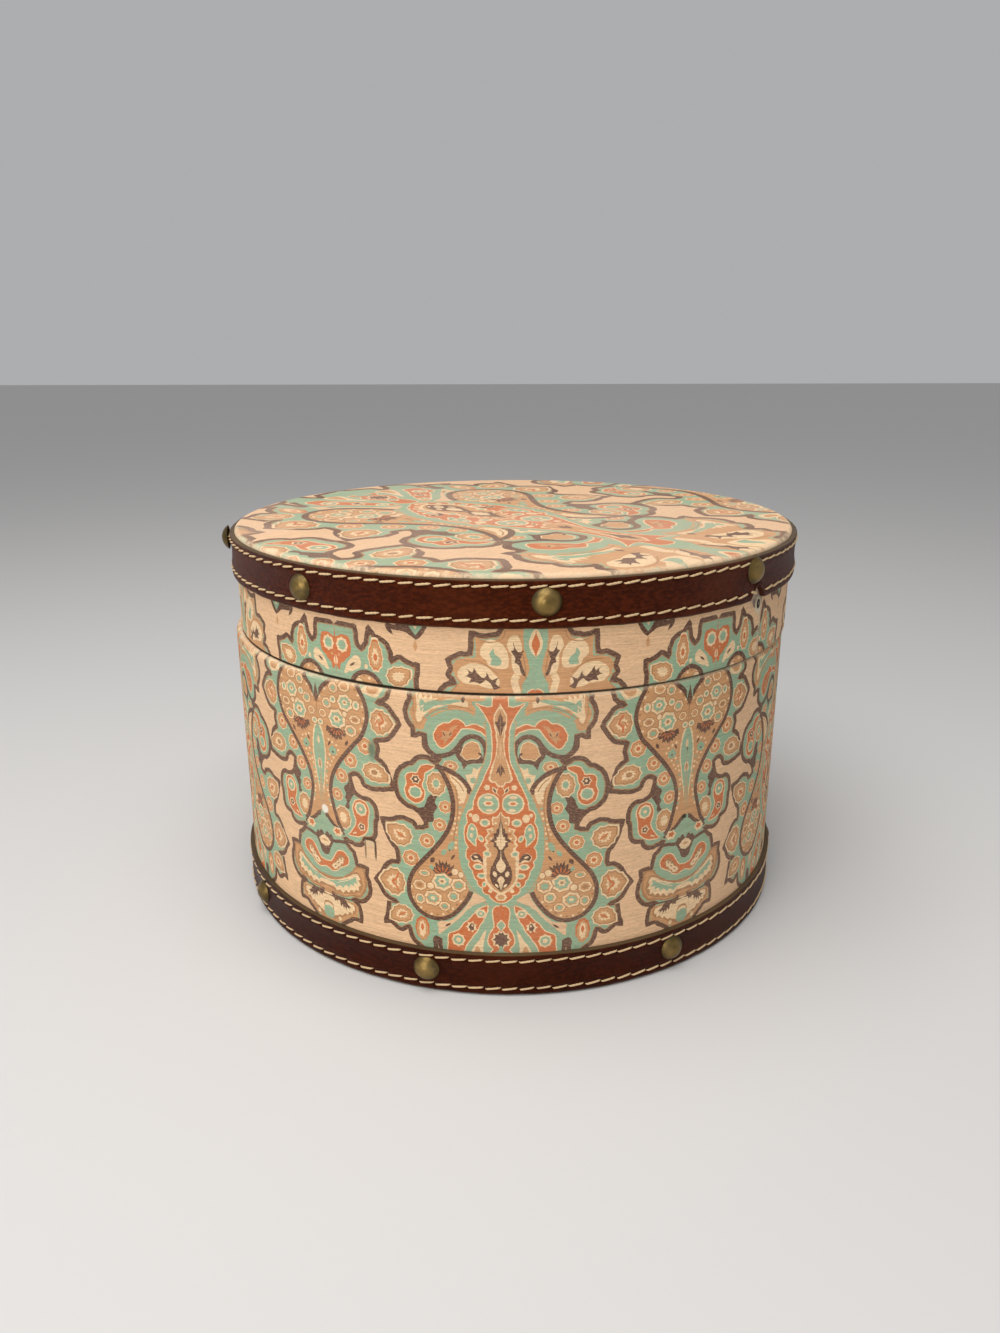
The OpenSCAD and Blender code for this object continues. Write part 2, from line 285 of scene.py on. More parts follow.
    # the kidney and the dark curl under it
    dye("aqua", path("4.4,108.4 6,112.8 9,114.6 12,114 14,116 17,116.4 20,114.8 23.6,113.2 26.2,110.8 27,107.6 26.2,104.4 24.2,101.4"
                     " 21.4,99.8 19,101 17,103 15.4,106 12.6,109.4 9,109.6 6,107.6"))
    kidney = path("4.6,107.6* 5.4,110.4 7.4,111.8 10,112.4 12.6,111.6* 14,113.4 16.6,114 18.6,112.4* 20.6,112.4 22.8,110.8"
                  " 24.3,108 23.7,105 21.4,102.8 18.2,105.2 16,108.4 14.4,110.6 10,110.8 6.8,109.6")
    edged("orange", kidney)
    dye("tan", path("15.2,112* 17.4,111.4 19,109.4 21.6,109.8* 21,107.6 22.4,106 20.6,106.2 20.8,104* 19,106.2 17.6,107.8 17,110"))
    dye("plum", leaf(20.6, 108.2, 2.2, 0.6, 60), leaf(18.2, 108.4, 2.0, 0.6, 120))
    dye("plum", stroke("5.4,98.6 5.2,102 5.8,105 8,107.4 11,107.8 13.6,106.2 15.6,103.2 17.6,101.2 20.6,99.8 24.4,99.6 27.2,102.4 28,107", 1.9),
        path("6.2,99.4 6.4,97.6 9.6,97.4 12.2,96.8 13.4,94.8* 14.4,97.4 16.4,99.8 16,103 9,104"))
    edged("tan", path("10,105.8 8.6,105 7.3,103 7.6,101.3* 7.4,100.5 8.2,99.5 11,99.2 12.4,98.6* 14.3,100.6* 13.2,103.4 12.1,104.9"), "cream", 0.35)
    dye("plum", leaf(7.4, 101.1, 2.0, 1.0, 40))
    dye("cream", path("6.4,96.8* 8.6,95 10,95.6* 10.6,93.4 13,92.8* 12.4,90.6 12,88.6 10.8,86.4 9.4,89.4 8,92.4 7.2,94.6"))
    dye("aqua", blob(10, 90.6, 1.2, 1.3))
    flower(18.4, 95.8, 3.0, 2.3)
    # fringe on the outer side of the boteh
    dye("plum", path("23.4,84* 24.6,80.6 23.8,78.6 25.4,75.8 24.8,72.8* 29,72* 30,75.4 32,77.6* 29,78.4 27.8,81.4 26.4,83.6"))
    flower(24.0, 88.2, 3.9, 5.0, 10, "cream")
    dye("aqua", blob(24.0, 88.4, 1.2, 1.6))
    ring = path("24.6,95.4* 27.4,95.4 29.6,94.8 31.2,92 34,91.6 36,89.6 35.4,87 36.2,84.6 35.4,81.6 32.4,79.8 29.4,81.4 28.6,84.4"
                " 29.6,87 28.8,90 28.2,92.4 26,93.8")
    edged("orange", ring)
    dye("cream", blob(32, 89.2, 1.9, 1.8, 6, 0.2))
    dye("plum", blob(32, 89.2, 1.4, 1.4, 6, 0.2))
    dye("cream", blob(31.9, 89.3, 0.6, 0.6), blob(32.2, 84, 2.8, 2.6, 8, 0.08))
    dye("aqua", blob(32.2, 84, 2.2, 2.1))
    for across, up, size in ((20.7, 79.2, 2.6), (23.0, 71.6, 2.8), (28.2, 64.4, 3.1), (34.9, 56.2, 3.5)):
        flower(across, up, size, None, 8, "orange", "orange")
    for across, up, wide, tall, tip in ((38.9, 65.3, 5.1, 4.8, 33), (42.2, 44.8, 4.9, 6.3, 0), (39.3, 31.2, 4.8, 4.2, -35)):
        flower(across, up, wide, tall, 10, "tan", "ochre", tip)
    dye("orange", stroke("40.4,48.6 41.6,45.8 43.2,44.6 41.6,43.2 40.6,40.8", 0.8), stroke("37.2,64.4 38.8,65.4 40.6,66.6", 0.7),
        stroke("37.8,32 39.4,31.2 41,30", 0.7), blob(31, 26.4, 2.9, 5.2, 9, 0.06))
    dye("tan", blob(31, 25.6, 2.3, 4.8, 9, 0.08))
    dye("cream", blob(31, 26, 1.3, 3.6, 7, 0.14))
    dye("orange", leaf(31, 26.8, 3.6, 1.3, 90))
    # the boteh
    dye("tan", path("22.6,94.8* 20.2,90.6 18.4,86 17.8,81 18,76.4 19.2,71 22.6,65.2 27,59.4 31.6,54.2 34.8,49.6 36.3,44 35.6,38.8"
                    " 32.6,34.2 28,31.6 23,31.4 18.6,33.6 14.8,37.8 11.4,44* 13,48 15,54 15.9,60 15.9,69 14.6,76.6 12,83*"
                    " 11.6,86 14,90.6 18,93.8"))
    dye("cream", path("12.6,84.6* 12.6,87 15.4,90.8 19.4,92.8 18.8,91.4 16.6,87.6 15.2,83.4 14.2,81"))
    dye("ochre", stroke("13.6,86 15.4,89.2 18.2,91.6", 0.4), stroke("16.8,88 16.2,84 15.9,79 16.5,73 17.6,67 18.2,61", 0.4))
    beads("15.5,84.6 15,79.6 15.7,74 16.6,68 17,62.6", 0.62, 2.1, ("cream", "cream", "aqua"))
    beads("17.2,76 17.4,71.6 19.2,66.6", 0.55, 2.2)
    dye("aqua", blob(18.8, 63.2, 1.2, 2.4, turn=25), blob(21.6, 60.4, 1.0, 1.6, turn=35))
    dye("plum", blob(19.4, 61.4, 0.4, 0.4), leaf(18.2, 58.6, 3.0, 1.0, -55), leaf(26.2, 56.6, 3.0, 1.9, -60),
        path("16.2,52* 18.6,52.4 17.6,55.6* 20,54 20.6,57.4* 22,54.4 23.8,57.2* 24,53.8 27.2,53* 24.6,51.6 22,50.6 19,50.6 16.2,52*"))
    for tilt in (-56, -28, 0, 28, 56):
        a = math.radians(90 - tilt)
        dye("plum", leaf(22.2 + 3.4 * math.cos(a), 50.4 + 3.4 * math.sin(a), 5.6, 2.0, 90 - tilt, 5))
        dye("orange", leaf(22.2 + 3.0 * math.cos(a), 50.4 + 3.0 * math.sin(a), 3.0, 0.7, 90 - tilt, 5))
    beads("33.4,52 35,48.6 35,43.6 34,39.4 31.6,35.6 28.2,33.4 24.4,33.2 20.6,34.6 16.8,38.4 13.6,42.6", 0.6, 2.4, ("ochre", "cream"))
    for across, up, wide, tall in ((22.6, 47.6, 3.9, 3.6), (26.4, 40.2, 3.6, 3.2), (16.2, 46.8, 2.9, 2.8), (18.2, 41.8, 2.3, 2.3),
                                   (31.6, 45.2, 2.6, 2.2), (29.6, 50.6, 2.2, 1.4), (21.8, 37.2, 2.1, 1.9), (31.6, 39.2, 1.9, 2.2),
                                   (17.4, 52.4, 1.3, 1.3), (15.2, 51.4, 1.0, 1.2), (27.2, 45.4, 1.3, 1.3)):
        dye("ochre", blob(across, up, wide + 0.4, tall + 0.4, 7, 0.1))
        dye("cream", blob(across, up, wide, tall, 7, 0.1))
        if wide > 1.4:
            dye("tan", blob(across, up, wide * 0.72, tall * 0.72, 7, 0.12))
    dye("aqua", blob(22.6, 47.8, 2.8, 2.6, 7, 0.14), blob(16.2, 46.8, 1.6, 1.5), blob(18.2, 41.8, 1.3, 1.3), blob(29.6, 50.6, 1.2, 0.6),
        blob(21.8, 37.2, 1.1, 1.0), blob(31.6, 39.2, 1.0, 1.3), blob(26.6, 53.4, 0.8, 1.2, turn=-30), blob(26.4, 40.2, 2.0, 1.7, 6, 0.16))
    dye("cream", blob(22.6, 47.9, 1.6, 1.4, 6, 0.2), blob(26.4, 40.2, 1.0, 0.8))
    dye("ochre", blob(22.6, 47.9, 0.7, 0.6), blob(31.6, 45.2, 1.2, 0.9))
    dye("plum", stroke("11,85.6 12.4,88.8 15.6,92 19.6,94.2 24.4,95.2", 1.6, 2.0), blob(11.6, 86.2, 1.0, 1.2),
        stroke("23.6,96 21.6,93 20,90 18.6,86 17.8,82 17.8,78 18.4,74 19.6,70.4 21.6,66.6 24.6,62.4 28,58.2 31,54.8 33.8,51 35.6,47"
               " 36.2,43.4 35.8,39.8 34.2,36.4 31.4,33.4 28,31.8 24.6,31.4 21.2,32.2 18,34.4 15,37.8 12.8,41.2 11.4,44.6", 1.8))
    # the vase
    edged("aqua", path("-4,119* 2.6,119 3.8,116 5.4,113 5,109 4.9,103 6,98 7.5,94 9.3,89 11.5,84 13.5,79 15.3,74 15.9,70 16,62 15.5,57"
                       " 14,52 11.5,47 9.5,44 7,41 4,38.4 0,37.2 -4,38.4*"), "tan", 0.35)
    inside = path("-4,125* 2.1,125 2.6,119.6* 5,119.2 8.7,120.6* 6,117.4 4.4,114.4 3.1,110.4 2.8,103 3.5,98 5,94 6.8,89.4 8.6,85.6 9.9,82"
                  " 10.2,78.7* 11.4,78.4 12.6,76.4 12.1,73.7* 13.3,71.4 13.6,68.4 13,65 12,63.5* 12.9,61.6 12.9,59.4 11.9,57.6*"
                  " 12,55.6 10.4,53* 10.2,51 8.7,49.5* 8.6,47.8 6.8,46.3* 6.4,44.2 4.3,43.4* 2.6,41 0,40.2 -4,41*", 0.8)
    edged("orange", inside, "cream", 0.4)
    dye("cream", path("0,120.4* 1.9,117.2 2.5,114.6 1.9,110.4 1.5,105.6 1.8,101 3,97 3.9,93.6 4.4,91.2 3.2,89.9 2,90 1.4,88.6 0,88.2* -4,89 -4,119*", 0.8))
    dye("tan", path("0,119.4* 1.5,116.8 2,114.4 1.4,110 1.1,105.6 1.4,101 2.5,97 3.4,93.6 3.8,91.6 2.8,90.4 1.8,90.6 1,89.2 0,88.9* -4,89 -4,119*", 0.8))
    dye("cream", stroke("0,105.6 0.3,102.4 1,99.6", 0.3), stroke("1.2,112.6 0.7,108.6", 0.3))
    dye("plum", path("0,117.6* 0.8,115.4 0.9,113.9 2,113.6* 1.1,111.8 0.6,109.6 0,107.2* -0.5,109.4 -1.1,111.4 -2,113 -0.9,113.4"),
        path("0,97.4* 0.9,95.8 1.8,93.4* 0.7,94.2 0,92* -0.6,94 -1.7,93.2*"))
    dye("cream", leaf(2.2, 86.9, 3.4, 1.7, 60), blob(5.0, 88.0, 1.1, 1.1, 5, 0.1), stroke("0.9,88 1.6,86 0.6,84.8", 0.3))
    dye("plum", leaf(2.2, 86.8, 2.3, 0.9, 60))
    dye("cream", blob(4.5, 81.5, 4.2, 4.2, 12, 0.03))
    dye("aqua", blob(4.5, 81.5, 3.6, 3.6, parts=18))
    dye("cream", blob(4.6, 84, 1.6, 0.7), blob(4.2, 78.8, 1.5, 0.6), blob(4.5, 81.6, 1.8, 1.1, 6, 0.12))
    dye("orange", blob(4.5, 81.6, 1.1, 0.55))
    # the tan heart between them, its edge broken by dots
    dye("cream", path("0,78.6* 1.2,76.6 3.2,76.4* 3.4,74.4* 3.2,72 5.4,71 4.6,69.4* 6,67.6 5.4,66 6.4,64.4* 5.4,62.8 6.6,60.4 6.6,56"
                      " 6.2,50 4.4,46.4 2,44.6 0,43.8* -4,45 -4,78*", 0.8))
    dye("tan", path("0,77.8* 1,75.8 2.8,75.6* 2.8,73.6* 2.7,71.6 4.8,70.6 4,69.2* 5.4,67.4 4.6,65.8 5.6,64.4* 4.4,62.4 5.4,59.4 5.4,56"
                    " 5.2,50.2 3.8,47.2 1.8,45.4 0,44.6* -4,45 -4,77*", 0.8))
    beads("1.4,74.4 3,71.6 3.4,68 4.6,64.8", 0.5, 1.7, ("cream", "orange"))
    for across, up, wide, tall, turn in ((9.3, 75.4, 1.4, 1.7, 0), (11.2, 76.6, 0.7, 0.8, 0), (5.9, 73.7, 2.0, 1.7, 0), (7.4, 67.1, 1.0, 1.6, -25),
                                         (5.2, 60.8, 1.7, 1.4, 20), (8.5, 55.3, 2.1, 1.4, 0), (7.3, 51.5, 1.8, 1.3, 0), (6.4, 47.9, 0.9, 1.3, 10),
                                         (4.1, 45.2, 0.8, 0.9, 0), (0, 42.6, 2.2, 1.7, 0)):
        dye("cream", blob(across, up, wide, tall, 7, 0.06, turn))
        if wide > 1.4 or turn:
            dye("aqua" if up > 44 else "tan", blob(across, up, wide * 0.62, tall * 0.6, 0, 0, turn, 8))
    edged("aqua", path("11.2,73 12.2,70.6 12.3,67.8 11,65.6 9.4,64* 9.6,66.4 8.9,68.6 9.4,71.4"))
    dye("cream", blob(10.6, 71, 0.8, 0.7), blob(11, 68.2, 0.7, 1.0))
    dye("cream", path("5.6,60.8 6.2,57 8,60.4 10.2,61 11.4,59.6 11,57.8 9,57.4 6.4,56.6*"))
    dye("plum", path("6.7,56.9* 7,59 8.4,60.7 10.4,60.7 11.2,59.3 10.2,57.8 8.6,58.4 7.6,57.8"))
    dye("cream", leaf(9.4, 59.4, 2.0, 1.0, 20))
    dye("plum", path("0,75.4* 0.7,73 0.9,71.4 1.6,71.2* 1.7,69.6 2.7,69.2* 2.6,67.6 4.2,66.2* 2.7,65.4 2.8,64* 1.6,63.2 1.2,61.8 1.5,60 2.6,57.6"
                     " 3.9,54.6 4.0,51.2 3.2,48 0,45.2*"
                     " -3.2,47.6 -4.3,50.8 -4.2,54 -2.8,57 -1.7,60 -1.2,62 -2.2,64 -4.2,65.4* -2.6,68.6 -1.2,70.6 -0.9,73", 0.8))
    dye("cream", path("0,69.6* 0.4,68.6 0.9,69.2* 0.9,67.8 1.6,67.9* 1.5,66.6 2.5,66.1* 1.5,65.4 1.7,64.2* 0.9,64.2 0.8,62.9* 0,62.6*"
                      " -0.9,62.9* -1.7,64.2* -2.5,66.1* -1.6,67.9* -0.9,69.2*", 0.8),
        path("0,61.4* 0.5,58.6 1.7,56 1.4,54.2 0,52.8* -1.6,54 -1.9,55.6 -0.6,58.4"),
        path("0,51.8* 1.6,49.6 0,47.4* -1.8,49.2*"), blob(2.3, 52.4, 0.8, 1.3, turn=-15), blob(1.6, 47.5, 0.5, 1.0, turn=-40))
    # the fan at the foot
    dye("ground", path("5.4,41* 8.6,43.6 10.6,44* 11.6,41 14,37 17,33.4 20,31 24,30.2 25.2,27.4 24.2,24.6* 22.8,25.8 20,28.6 16.6,32"
                       " 13.6,35.6 10.6,38.4 7.4,40.2"))
    dye("plum", leaf(20.6, 29.2, 3.2, 1.0, -35))
    dye("plum", path("21.8,14* 23,19.6 23.2,22.6 25.4,23.8 26.9,22.4 26.5,20 27.6,14*"))
    dye("ground", path("24.2,14 24.6,19.8* 25.2,14"))
    arm = path("5,38.8* 7.6,37.4 10,35.4 12,32.6 14.5,30 16.6,27 20,25.4 20.6,22 20.2,17 15.4,17 13.6,21 11.6,24 9.6,27 8,30.4 6.2,34")
    edged("orange", arm)
    dye("cream", blob(7.7, 35.2, 2.0, 1.9, 6, 0.1), blob(11.4, 29.2, 1.9, 2.1, 7, 0.25), blob(16.6, 23, 2.6, 2.8, 8, 0.1))
    dye("aqua", blob(7.7, 35.2, 1.4, 1.3), blob(16.6, 23, 1.9, 2.1))
    dye("cream", blob(7.7, 35.2, 0.7, 0.6), blob(16.6, 23, 1.0, 1.0, 5, 0.2))
    dye("plum", blob(11.4, 29, 1.0, 1.5, 5, 0.2), blob(11.2, 30.2, 0.7, 0.7))
    dye("cream", blob(11.1, 29.8, 0.4, 0.5), path("5.8,28 7.4,25.6 8.8,23 11,19.6 12.4,14 6.4,14 7,20"))
    dye("tan", path("7.6,14 8,18.6 9.2,21 10.6,18 11,14"))
    stem = path("-4,38.2* 2.4,38.2 3,34 2.5,30.6 3.4,28 4.9,25 4.6,21.6 3,19.6 4.6,16 -4,16*")
    edged("orange", stem)
    dye("cream", path("0,33* 1.9,30.2 0,27.6* -1.9,30.2*"))
    dye("aqua", path("0,32.2* 1.4,30.2 0,28.4* -1.4,30.2*"), blob(0, 17.2, 3.2, 1.9), blob(25.4, 27, 1.0, 2.4))
    dye("cream", blob(0.1, 24, 3.4, 3.6, 9, 0.14))
    dye("plum", blob(0.1, 24, 2.6, 2.9, 9, 0.22))


def drawTwinMotif():
    whole = path("79,146.6* 73.4,145.4 65.4,145* 65.2,142 64.6,138.4 63.2,136.8* 61.2,139.6 59.9,145.6* 57.4,142.6 53.9,141.2"
                 " 51.6,138 51,133.6* 49.6,135 47.6,135.8 45,134 41,133.4* 41.4,130 41.9,126 41.3,122.6 42.6,119.4 46.2,117.6*"
                 " 43,117.3 40,114.6 37.4,110.3* 39.5,107 42.6,103.6 47.6,102.4* 46.5,99 47.6,95.6* 44.6,93.8 43.1,91 42.1,87"
                 " 40.8,84.3* 44.6,83 50.4,82.4 53.6,83.2 55.2,86 57.2,87.2 60.2,86* 59.6,82.4 58.6,79.8 55.4,77.8 51.6,77.5"
                 " 49.5,75 49,71 50,67 50.5,63 52.6,60.8 55.6,60.4* 57,57.8 60,56.8 63,57.3 65.8,58.4* 64,55.2 61.6,53 60.9,50.2 60.4,47.8*"
                 " 58,48 55.4,47.6* 56,44.6 54.9,42 54.4,38.6 55.4,35 58.4,32.2 63.6,31.8* 60.6,29.6 59.7,27 59.8,22.6*"
                 " 63.4,22.8 66,21 69.6,18.6* 66,15* 79,13*")
    dye("plum", grown(whole, 0.9))
    dye("ochre", grown(whole, -0.9))
    dye("aqua", grown(whole, -1.25))
    # the crown, on the lid's side
    dye("orange", path("76,128* 73,127.4* 72.6,129.6 70.4,131.4 67.9,134.6 67.6,138.6 69,141 72,141.2 74.4,139.6 76,138.6"))
    dye("aqua", path("74.2,144* 79,144* 79,139.9* 76,139.9* 75,141*"))
    dye("cream", blob(71.6, 137.2, 2.6, 2.9, 8, 0.1), path("75.4,133.6* 74,132 73.8,130 75.4,128.6* 79,129 79,133"))
    dye("aqua", blob(71.6, 137.2, 1.8, 2.0))
    dye("tan", path("75.4,132.8* 74.4,131.6 74.4,130.2 75.4,129.4* 79,129 79,133"), blob(73.2, 133.2, 0.6, 0.7))
    dye("cream", path("71.2,126.6 69.6,130.4 67.4,133 65.4,134.2 63.9,133 63.6,130 65.4,128.6 68.6,127.4"), blob(61.4, 130.4, 0.8, 1.0))
    dye("plum", leaf(67.3, 130.4, 3.2, 1.0, 145))
    flower(57.4, 134.4, 3.1, 5.6, 10, "orange", "orange", 90)
    flower(48.8, 128.0, 4.6, 4.0, 10, "cream", "ochre", 148)
    # what hangs between the crowns
    dye("plum", path("36.6,150* 38.6,145.4 41.4,142.6* 44.8,145 47.4,145.4 52,146.4 53.4,150*"), leaf(51.6, 145.6, 5, 1.5, 50))
    dye("ground", path("47.4,150 49.4,147.6 53,148.4 53,150"))
    dye("aqua", path("38,150* 39.6,147 41.6,144.4* 43.8,147 45.6,150*"))
    dye("cream", leaf(41.7, 148, 3, 1.4, 90))
    dye("tan", leaf(41.8, 140.4, 4.4, 1.5, 90))
    # leaf cores down the fringe
    dye("cream", path("50,124 44,123.6 46,119.8 50,119.8 53,121.6"))
    dye("tan", path("50.6,123.4 45.4,123 47,120.8 50,120.8"))
    flower(45.4, 110, 4.3, 5.4, 10, "tan", "ochre", 180)
    flower(48.8, 89.4, 5.4, 4.1, 10, "ochre", "ochre", 208)
    dye("orange", stroke("45.6,113.6 43.8,110.4 45.6,109.2 45.4,106.8", 0.9), stroke("46.4,110.8 47.2,108.6", 0.5))
    for across, up, size in ((52.2, 99.4, 3.5), (59.4, 92.4, 3.3), (64.4, 85, 3.1), (67.4, 76.6, 2.8)):
        flower(across, up, size, None, 8, "orange", "orange")
    dye("plum", path("60.4,83.4* 62.2,82 63.6,80.2 62.8,78 63.4,76 62.9,74.4 64,72* 62,71.4 61.6,74 60.4,76.4 58.6,78.6*"))
    # the lobe
    lobe = path("56.4,76.6 53.6,75.4 52.6,72.6 53.4,69.8 53.8,66.4 54.6,63.4 57.4,61.4 60,60.6 63.4,60.4* 61.6,62.4 60,64.6 59,67.2"
                " 59.8,70 60,73 58.8,75.6")
    edged("orange", lobe)
    dye("cream", blob(56.4, 72.8, 2.8, 2.9, 8, 0.06), blob(56.7, 65.2, 1.7, 1.7, 5, 0.2), stroke("59.4,62.2 61.2,61.4", 0.6))
    dye("aqua", blob(56.4, 72.8, 2.1, 2.2))
    dye("cream", blob(56.4, 72.8, 0.9, 0.8))
    dye("plum", blob(56.7, 65.2, 1.2, 1.2, 5, 0.25))
    dye("cream", blob(56.7, 65.2, 0.5, 0.5))
    flower(65.4, 67.2, 3.9, 5.0, 10, "cream", "ochre")
    # the boteh pair, heads up
    dye("tan", path("75.4,113* 73,117.4 71.4,119.8 68.4,122.6 66.4,126 62.4,128.2 58,127 54.6,124 52.4,119 51,114.6 50.8,111 52,106.6"
                    " 54,102.6 57,99.4 60,96 63.6,92 66.6,88 69,84 70.3,80 70.8,76.4 70.2,72 69,67 67.6,63 70.6,62.8 73.6,65 75.4,67* 79,67* 79,113*"))
    dye("cream", path("75.4,107* 72.8,103 71.6,97.6 71.2,93 72,88 73,82.6 74.8,74.6* 79,75* 79,106*"))
    dye("aqua", path("75.4,105.6* 73.4,102 72.2,97.6 71.9,93 72.6,88 73.6,82.6 75.4,75* 79,75* 79,105*"))
    for up, tall in ((97.4, 2.4), (87.6, 3.3)):
        dye("cream", leaf(75.4, up, tall * 2.2, 2.6, 90))
        dye("orange", leaf(75.4, up, tall * 1.7, 1.7, 90))
        dye("tan", leaf(75.4, up, tall * 1.1, 0.8, 90))
    beads("70.4,99 67.4,97.6 69,93.6 71,88.6 72.2,83.4 72.4,77.6 71.4,70.6", 0.6, 2.0, ("cream", "cream", "aqua"))
    beads("66.4,98 64.8,95.4 67.6,91.6 70.2,87", 0.5, 2.2)
    beads("74.4,112.4 72.4,116.6 69.6,119.6 67.6,123.2 65,126.2 61.6,126.6 58.2,124.6 55,120.6 53.2,116.6 52.2,111.6 53.2,107 56,102.8",
          0.6, 2.3, ("ochre", "cream"))
    for across, up, wide, tall in ((64.6, 108, 4.1, 3.9), (60.4, 115.2, 3.5, 3.3), (58.4, 104.4, 2.6, 2.3), (69.4, 113.6, 2.2, 2.1),
                                   (71.8, 109, 1.8, 1.6), (56.2, 109.2, 2.4, 1.7), (60.6, 121.6, 2.5, 2.0), (65.8, 120.4, 2.1, 2.0),
                                   (55.4, 115, 1.6, 1.9), (66.2, 115.6, 1.5, 1.5), (64.6, 124.2, 1.4, 1.2), (73.2, 105.2, 1.5, 1.3),
                                   (60.8, 110.6, 1.0, 1.0)):
        dye("ochre", blob(across, up, wide + 0.4, tall + 0.4, 7, 0.1))
        dye("cream", blob(across, up, wide, tall, 7, 0.1))
        if wide > 1.7:
            dye("tan", blob(across, up, wide * 0.72, tall * 0.72, 7, 0.12))
    dye("aqua", blob(64.8, 107.8, 3.0, 2.8, 7, 0.14), blob(60.5, 115.2, 2.4, 2.2, 6, 0.14), blob(58.4, 104.4, 1.3, 1.1), blob(69.4, 113.6, 1.2, 1.1),
        blob(55.4, 115, 0.8, 1.1), blob(66.2, 115.6, 0.8, 0.8), blob(65.8, 120.4, 1.0, 1.0), blob(67.6, 94.4, 2.0, 1.9), blob(73.2, 105.2, 0.8, 0.7))
    dye("cream", blob(64.8, 107.9, 1.8, 1.5, 6, 0.2), blob(60.5, 115.3, 1.3, 1.1, 5, 0.2))
    dye("ochre", blob(56.2, 109.2, 1.2, 0.8), blob(64.8, 108, 0.8, 0.7), blob(60.5, 115.3, 0.6, 0.5))
    dye("plum", path("60.4,102.4* 62.4,101.6 60.8,104* 63.4,103.2 63.6,99.6* 65,101.8 66,98.4* 67,101.4 69,99.8* 68.8,102.4 70.6,102"
                     " 70,104.6* 67.6,103.8 65,104.4 63,104.2"))
    for tilt in (-54, -27, 0, 27, 54):
        a = math.radians(-90 + tilt)
        dye("plum", leaf(65.2 + 3.0 * math.cos(a), 104.6 + 3.0 * math.sin(a), 5.0, 1.9, -90 + tilt, 5))
        dye("orange", leaf(65.2 + 2.6 * math.cos(a), 104.6 + 2.6 * math.sin(a), 2.8, 0.6, -90 + tilt, 5))
    dye("plum", leaf(60.6, 99, 2.8, 1.4, -60), leaf(69.2, 97.2, 2.6, 1.0, -60), blob(67.6, 94, 0.5, 0.5))
    dye("plum", stroke("79,114.4 75.4,113.6", 2.0))
    dye("plum", stroke("75.4,113.6 73,117.6 71.3,119.8 68.4,122.4 66.4,126 62.4,128.2 58,127 54.6,122.6 52.2,118.4 51,114.6 50.8,111"
                       " 52,106.6 54,102.6 57,99.4 60,96 63.6,92 66.6,88 69,84 70.3,80 70.8,76.4 70.2,72 69,67 68,63.6 66,61", 1.8))
    dye("plum", stroke("65.6,59.6 69,61.6 72,63.6 74,65.8 75.4,66.4", 1.2, 2.0), blob(75.4, 66, 1.6, 1.3))
    # the leaf cluster and the diamond
    dye("cream", blob(69.2, 60, 2.4, 2.0, 6, 0.16))
    dye("orange", blob(69.4, 60.2, 1.4, 1.1, 5, 0.3))
    dye("plum", stroke("65.6,56.4 69,56 72,55.4 73.6,57.6", 1.5),
        path("79,61* 76.8,60.6* 75.2,58.8 74,57.4 71.8,55.6 73,53.4 74.4,51 75.2,48.6 76.8,47* 79,47*"))
    dye("cream", path("79,57.4* 76.8,57.4* 75.1,56 73.9,54.4* 75,52.4 76.8,50* 79,50*"))
    dye("tan", path("79,56* 76.8,56* 74.9,54.4* 76.8,51.8* 79,51.8*"))
    # the lower palmette
    dye("ochre", path("57.2,46.6 59.4,46.9 61.9,46.6 65,43 69,40.4 75.4,38.6 79,38.6 79,31 74,31.2 68,31.4 63.6,33 59.6,33.6 56.8,37 56.2,41"))
    dye("tan", path("57.8,46 61,45.8 64.6,42.4 69,39.6 75.4,37.8 79,37.8 79,32 74,32.2 68,32.2 63.6,33.8 60,34.6 57.8,37.6 57.2,41"))
    dye("ochre", path("60.8,44.6 58.8,42.4 58.3,39 59.6,36 62.8,34.4 66,33.2 70,32.5 74,33 76.4,34.6 76.4,37.2 70.4,39.4 65,42.2"))
    dye("cream", path("60.8,43.9 59.2,41.8* 60.2,40.8 58.9,39* 60.4,38 60.3,36.2* 61.9,36.6 62.8,34.9* 64.2,35.8 65.6,33.8* 67,34.8"
                      " 68.6,33* 70.2,34.2 72.2,33* 73.2,34.4 75.4,34.4* 76.2,36.8 71.4,38.4 65,41.6"))
    dye("aqua", path("61.2,42.2* 61.4,40.6 60.6,39.4* 62.6,39.2 62.4,37.6* 64.4,38.2 65.2,36.2* 66.8,37.2 68.6,35.2* 69.8,36.2"
                     " 72.2,34.6* 73,35.8 75.6,36.4* 74.4,37.2 69,38.8 65,40.6"))
    dye("cream", stroke("62.8,41.6 66.6,39.2 71.4,37", 0.35))
    dye("plum", stroke("58.6,31.8 61.6,31 64.2,32.2", 1.3, 0.4), stroke("63,31.2 68,30.8 71.6,30.6 75,31.8", 0.7))
    heartEdge = path("67.6,55.2 65.6,53.4 63.2,51.8 61.9,49.4 62,46.6 63.6,44.2 66,42.2 69.2,40.4 72.6,39.2 76,39.2 79,39.6 79,46.4"
                     " 76.8,46* 75,46.6 73.8,48.4 72.6,51 70.8,53.8")
    dye("aqua", heartEdge)
    heart = path("64.7,48 65.3,50.4 67.4,51.9 69.4,51.7 71.5,49.6 73,47 75.2,45.1 77,44.6* 79,44.6* 79,44* 77,44* 75,42.4 73,41.9"
                 " 71,43 68.5,45 66.4,46")
    edged("orange", heart)
    dye("ochre", path("66.9,49.4 69,50 70.6,48.2 73.2,45.4 74.6,43.6 72.2,42.3 69.8,44.2 67.6,46.4"))
    dye("cream", path("67.3,49* 68.4,49.2 69,48.4* 70,48.2 70,47.2* 71.2,46.8 71.6,45.6* 73.2,45 74,43.8* 72.2,42.9 71,43.4* 70.6,44.6 69.4,44.8*"
                      " 69,46 67.8,46.4*", 0.8))
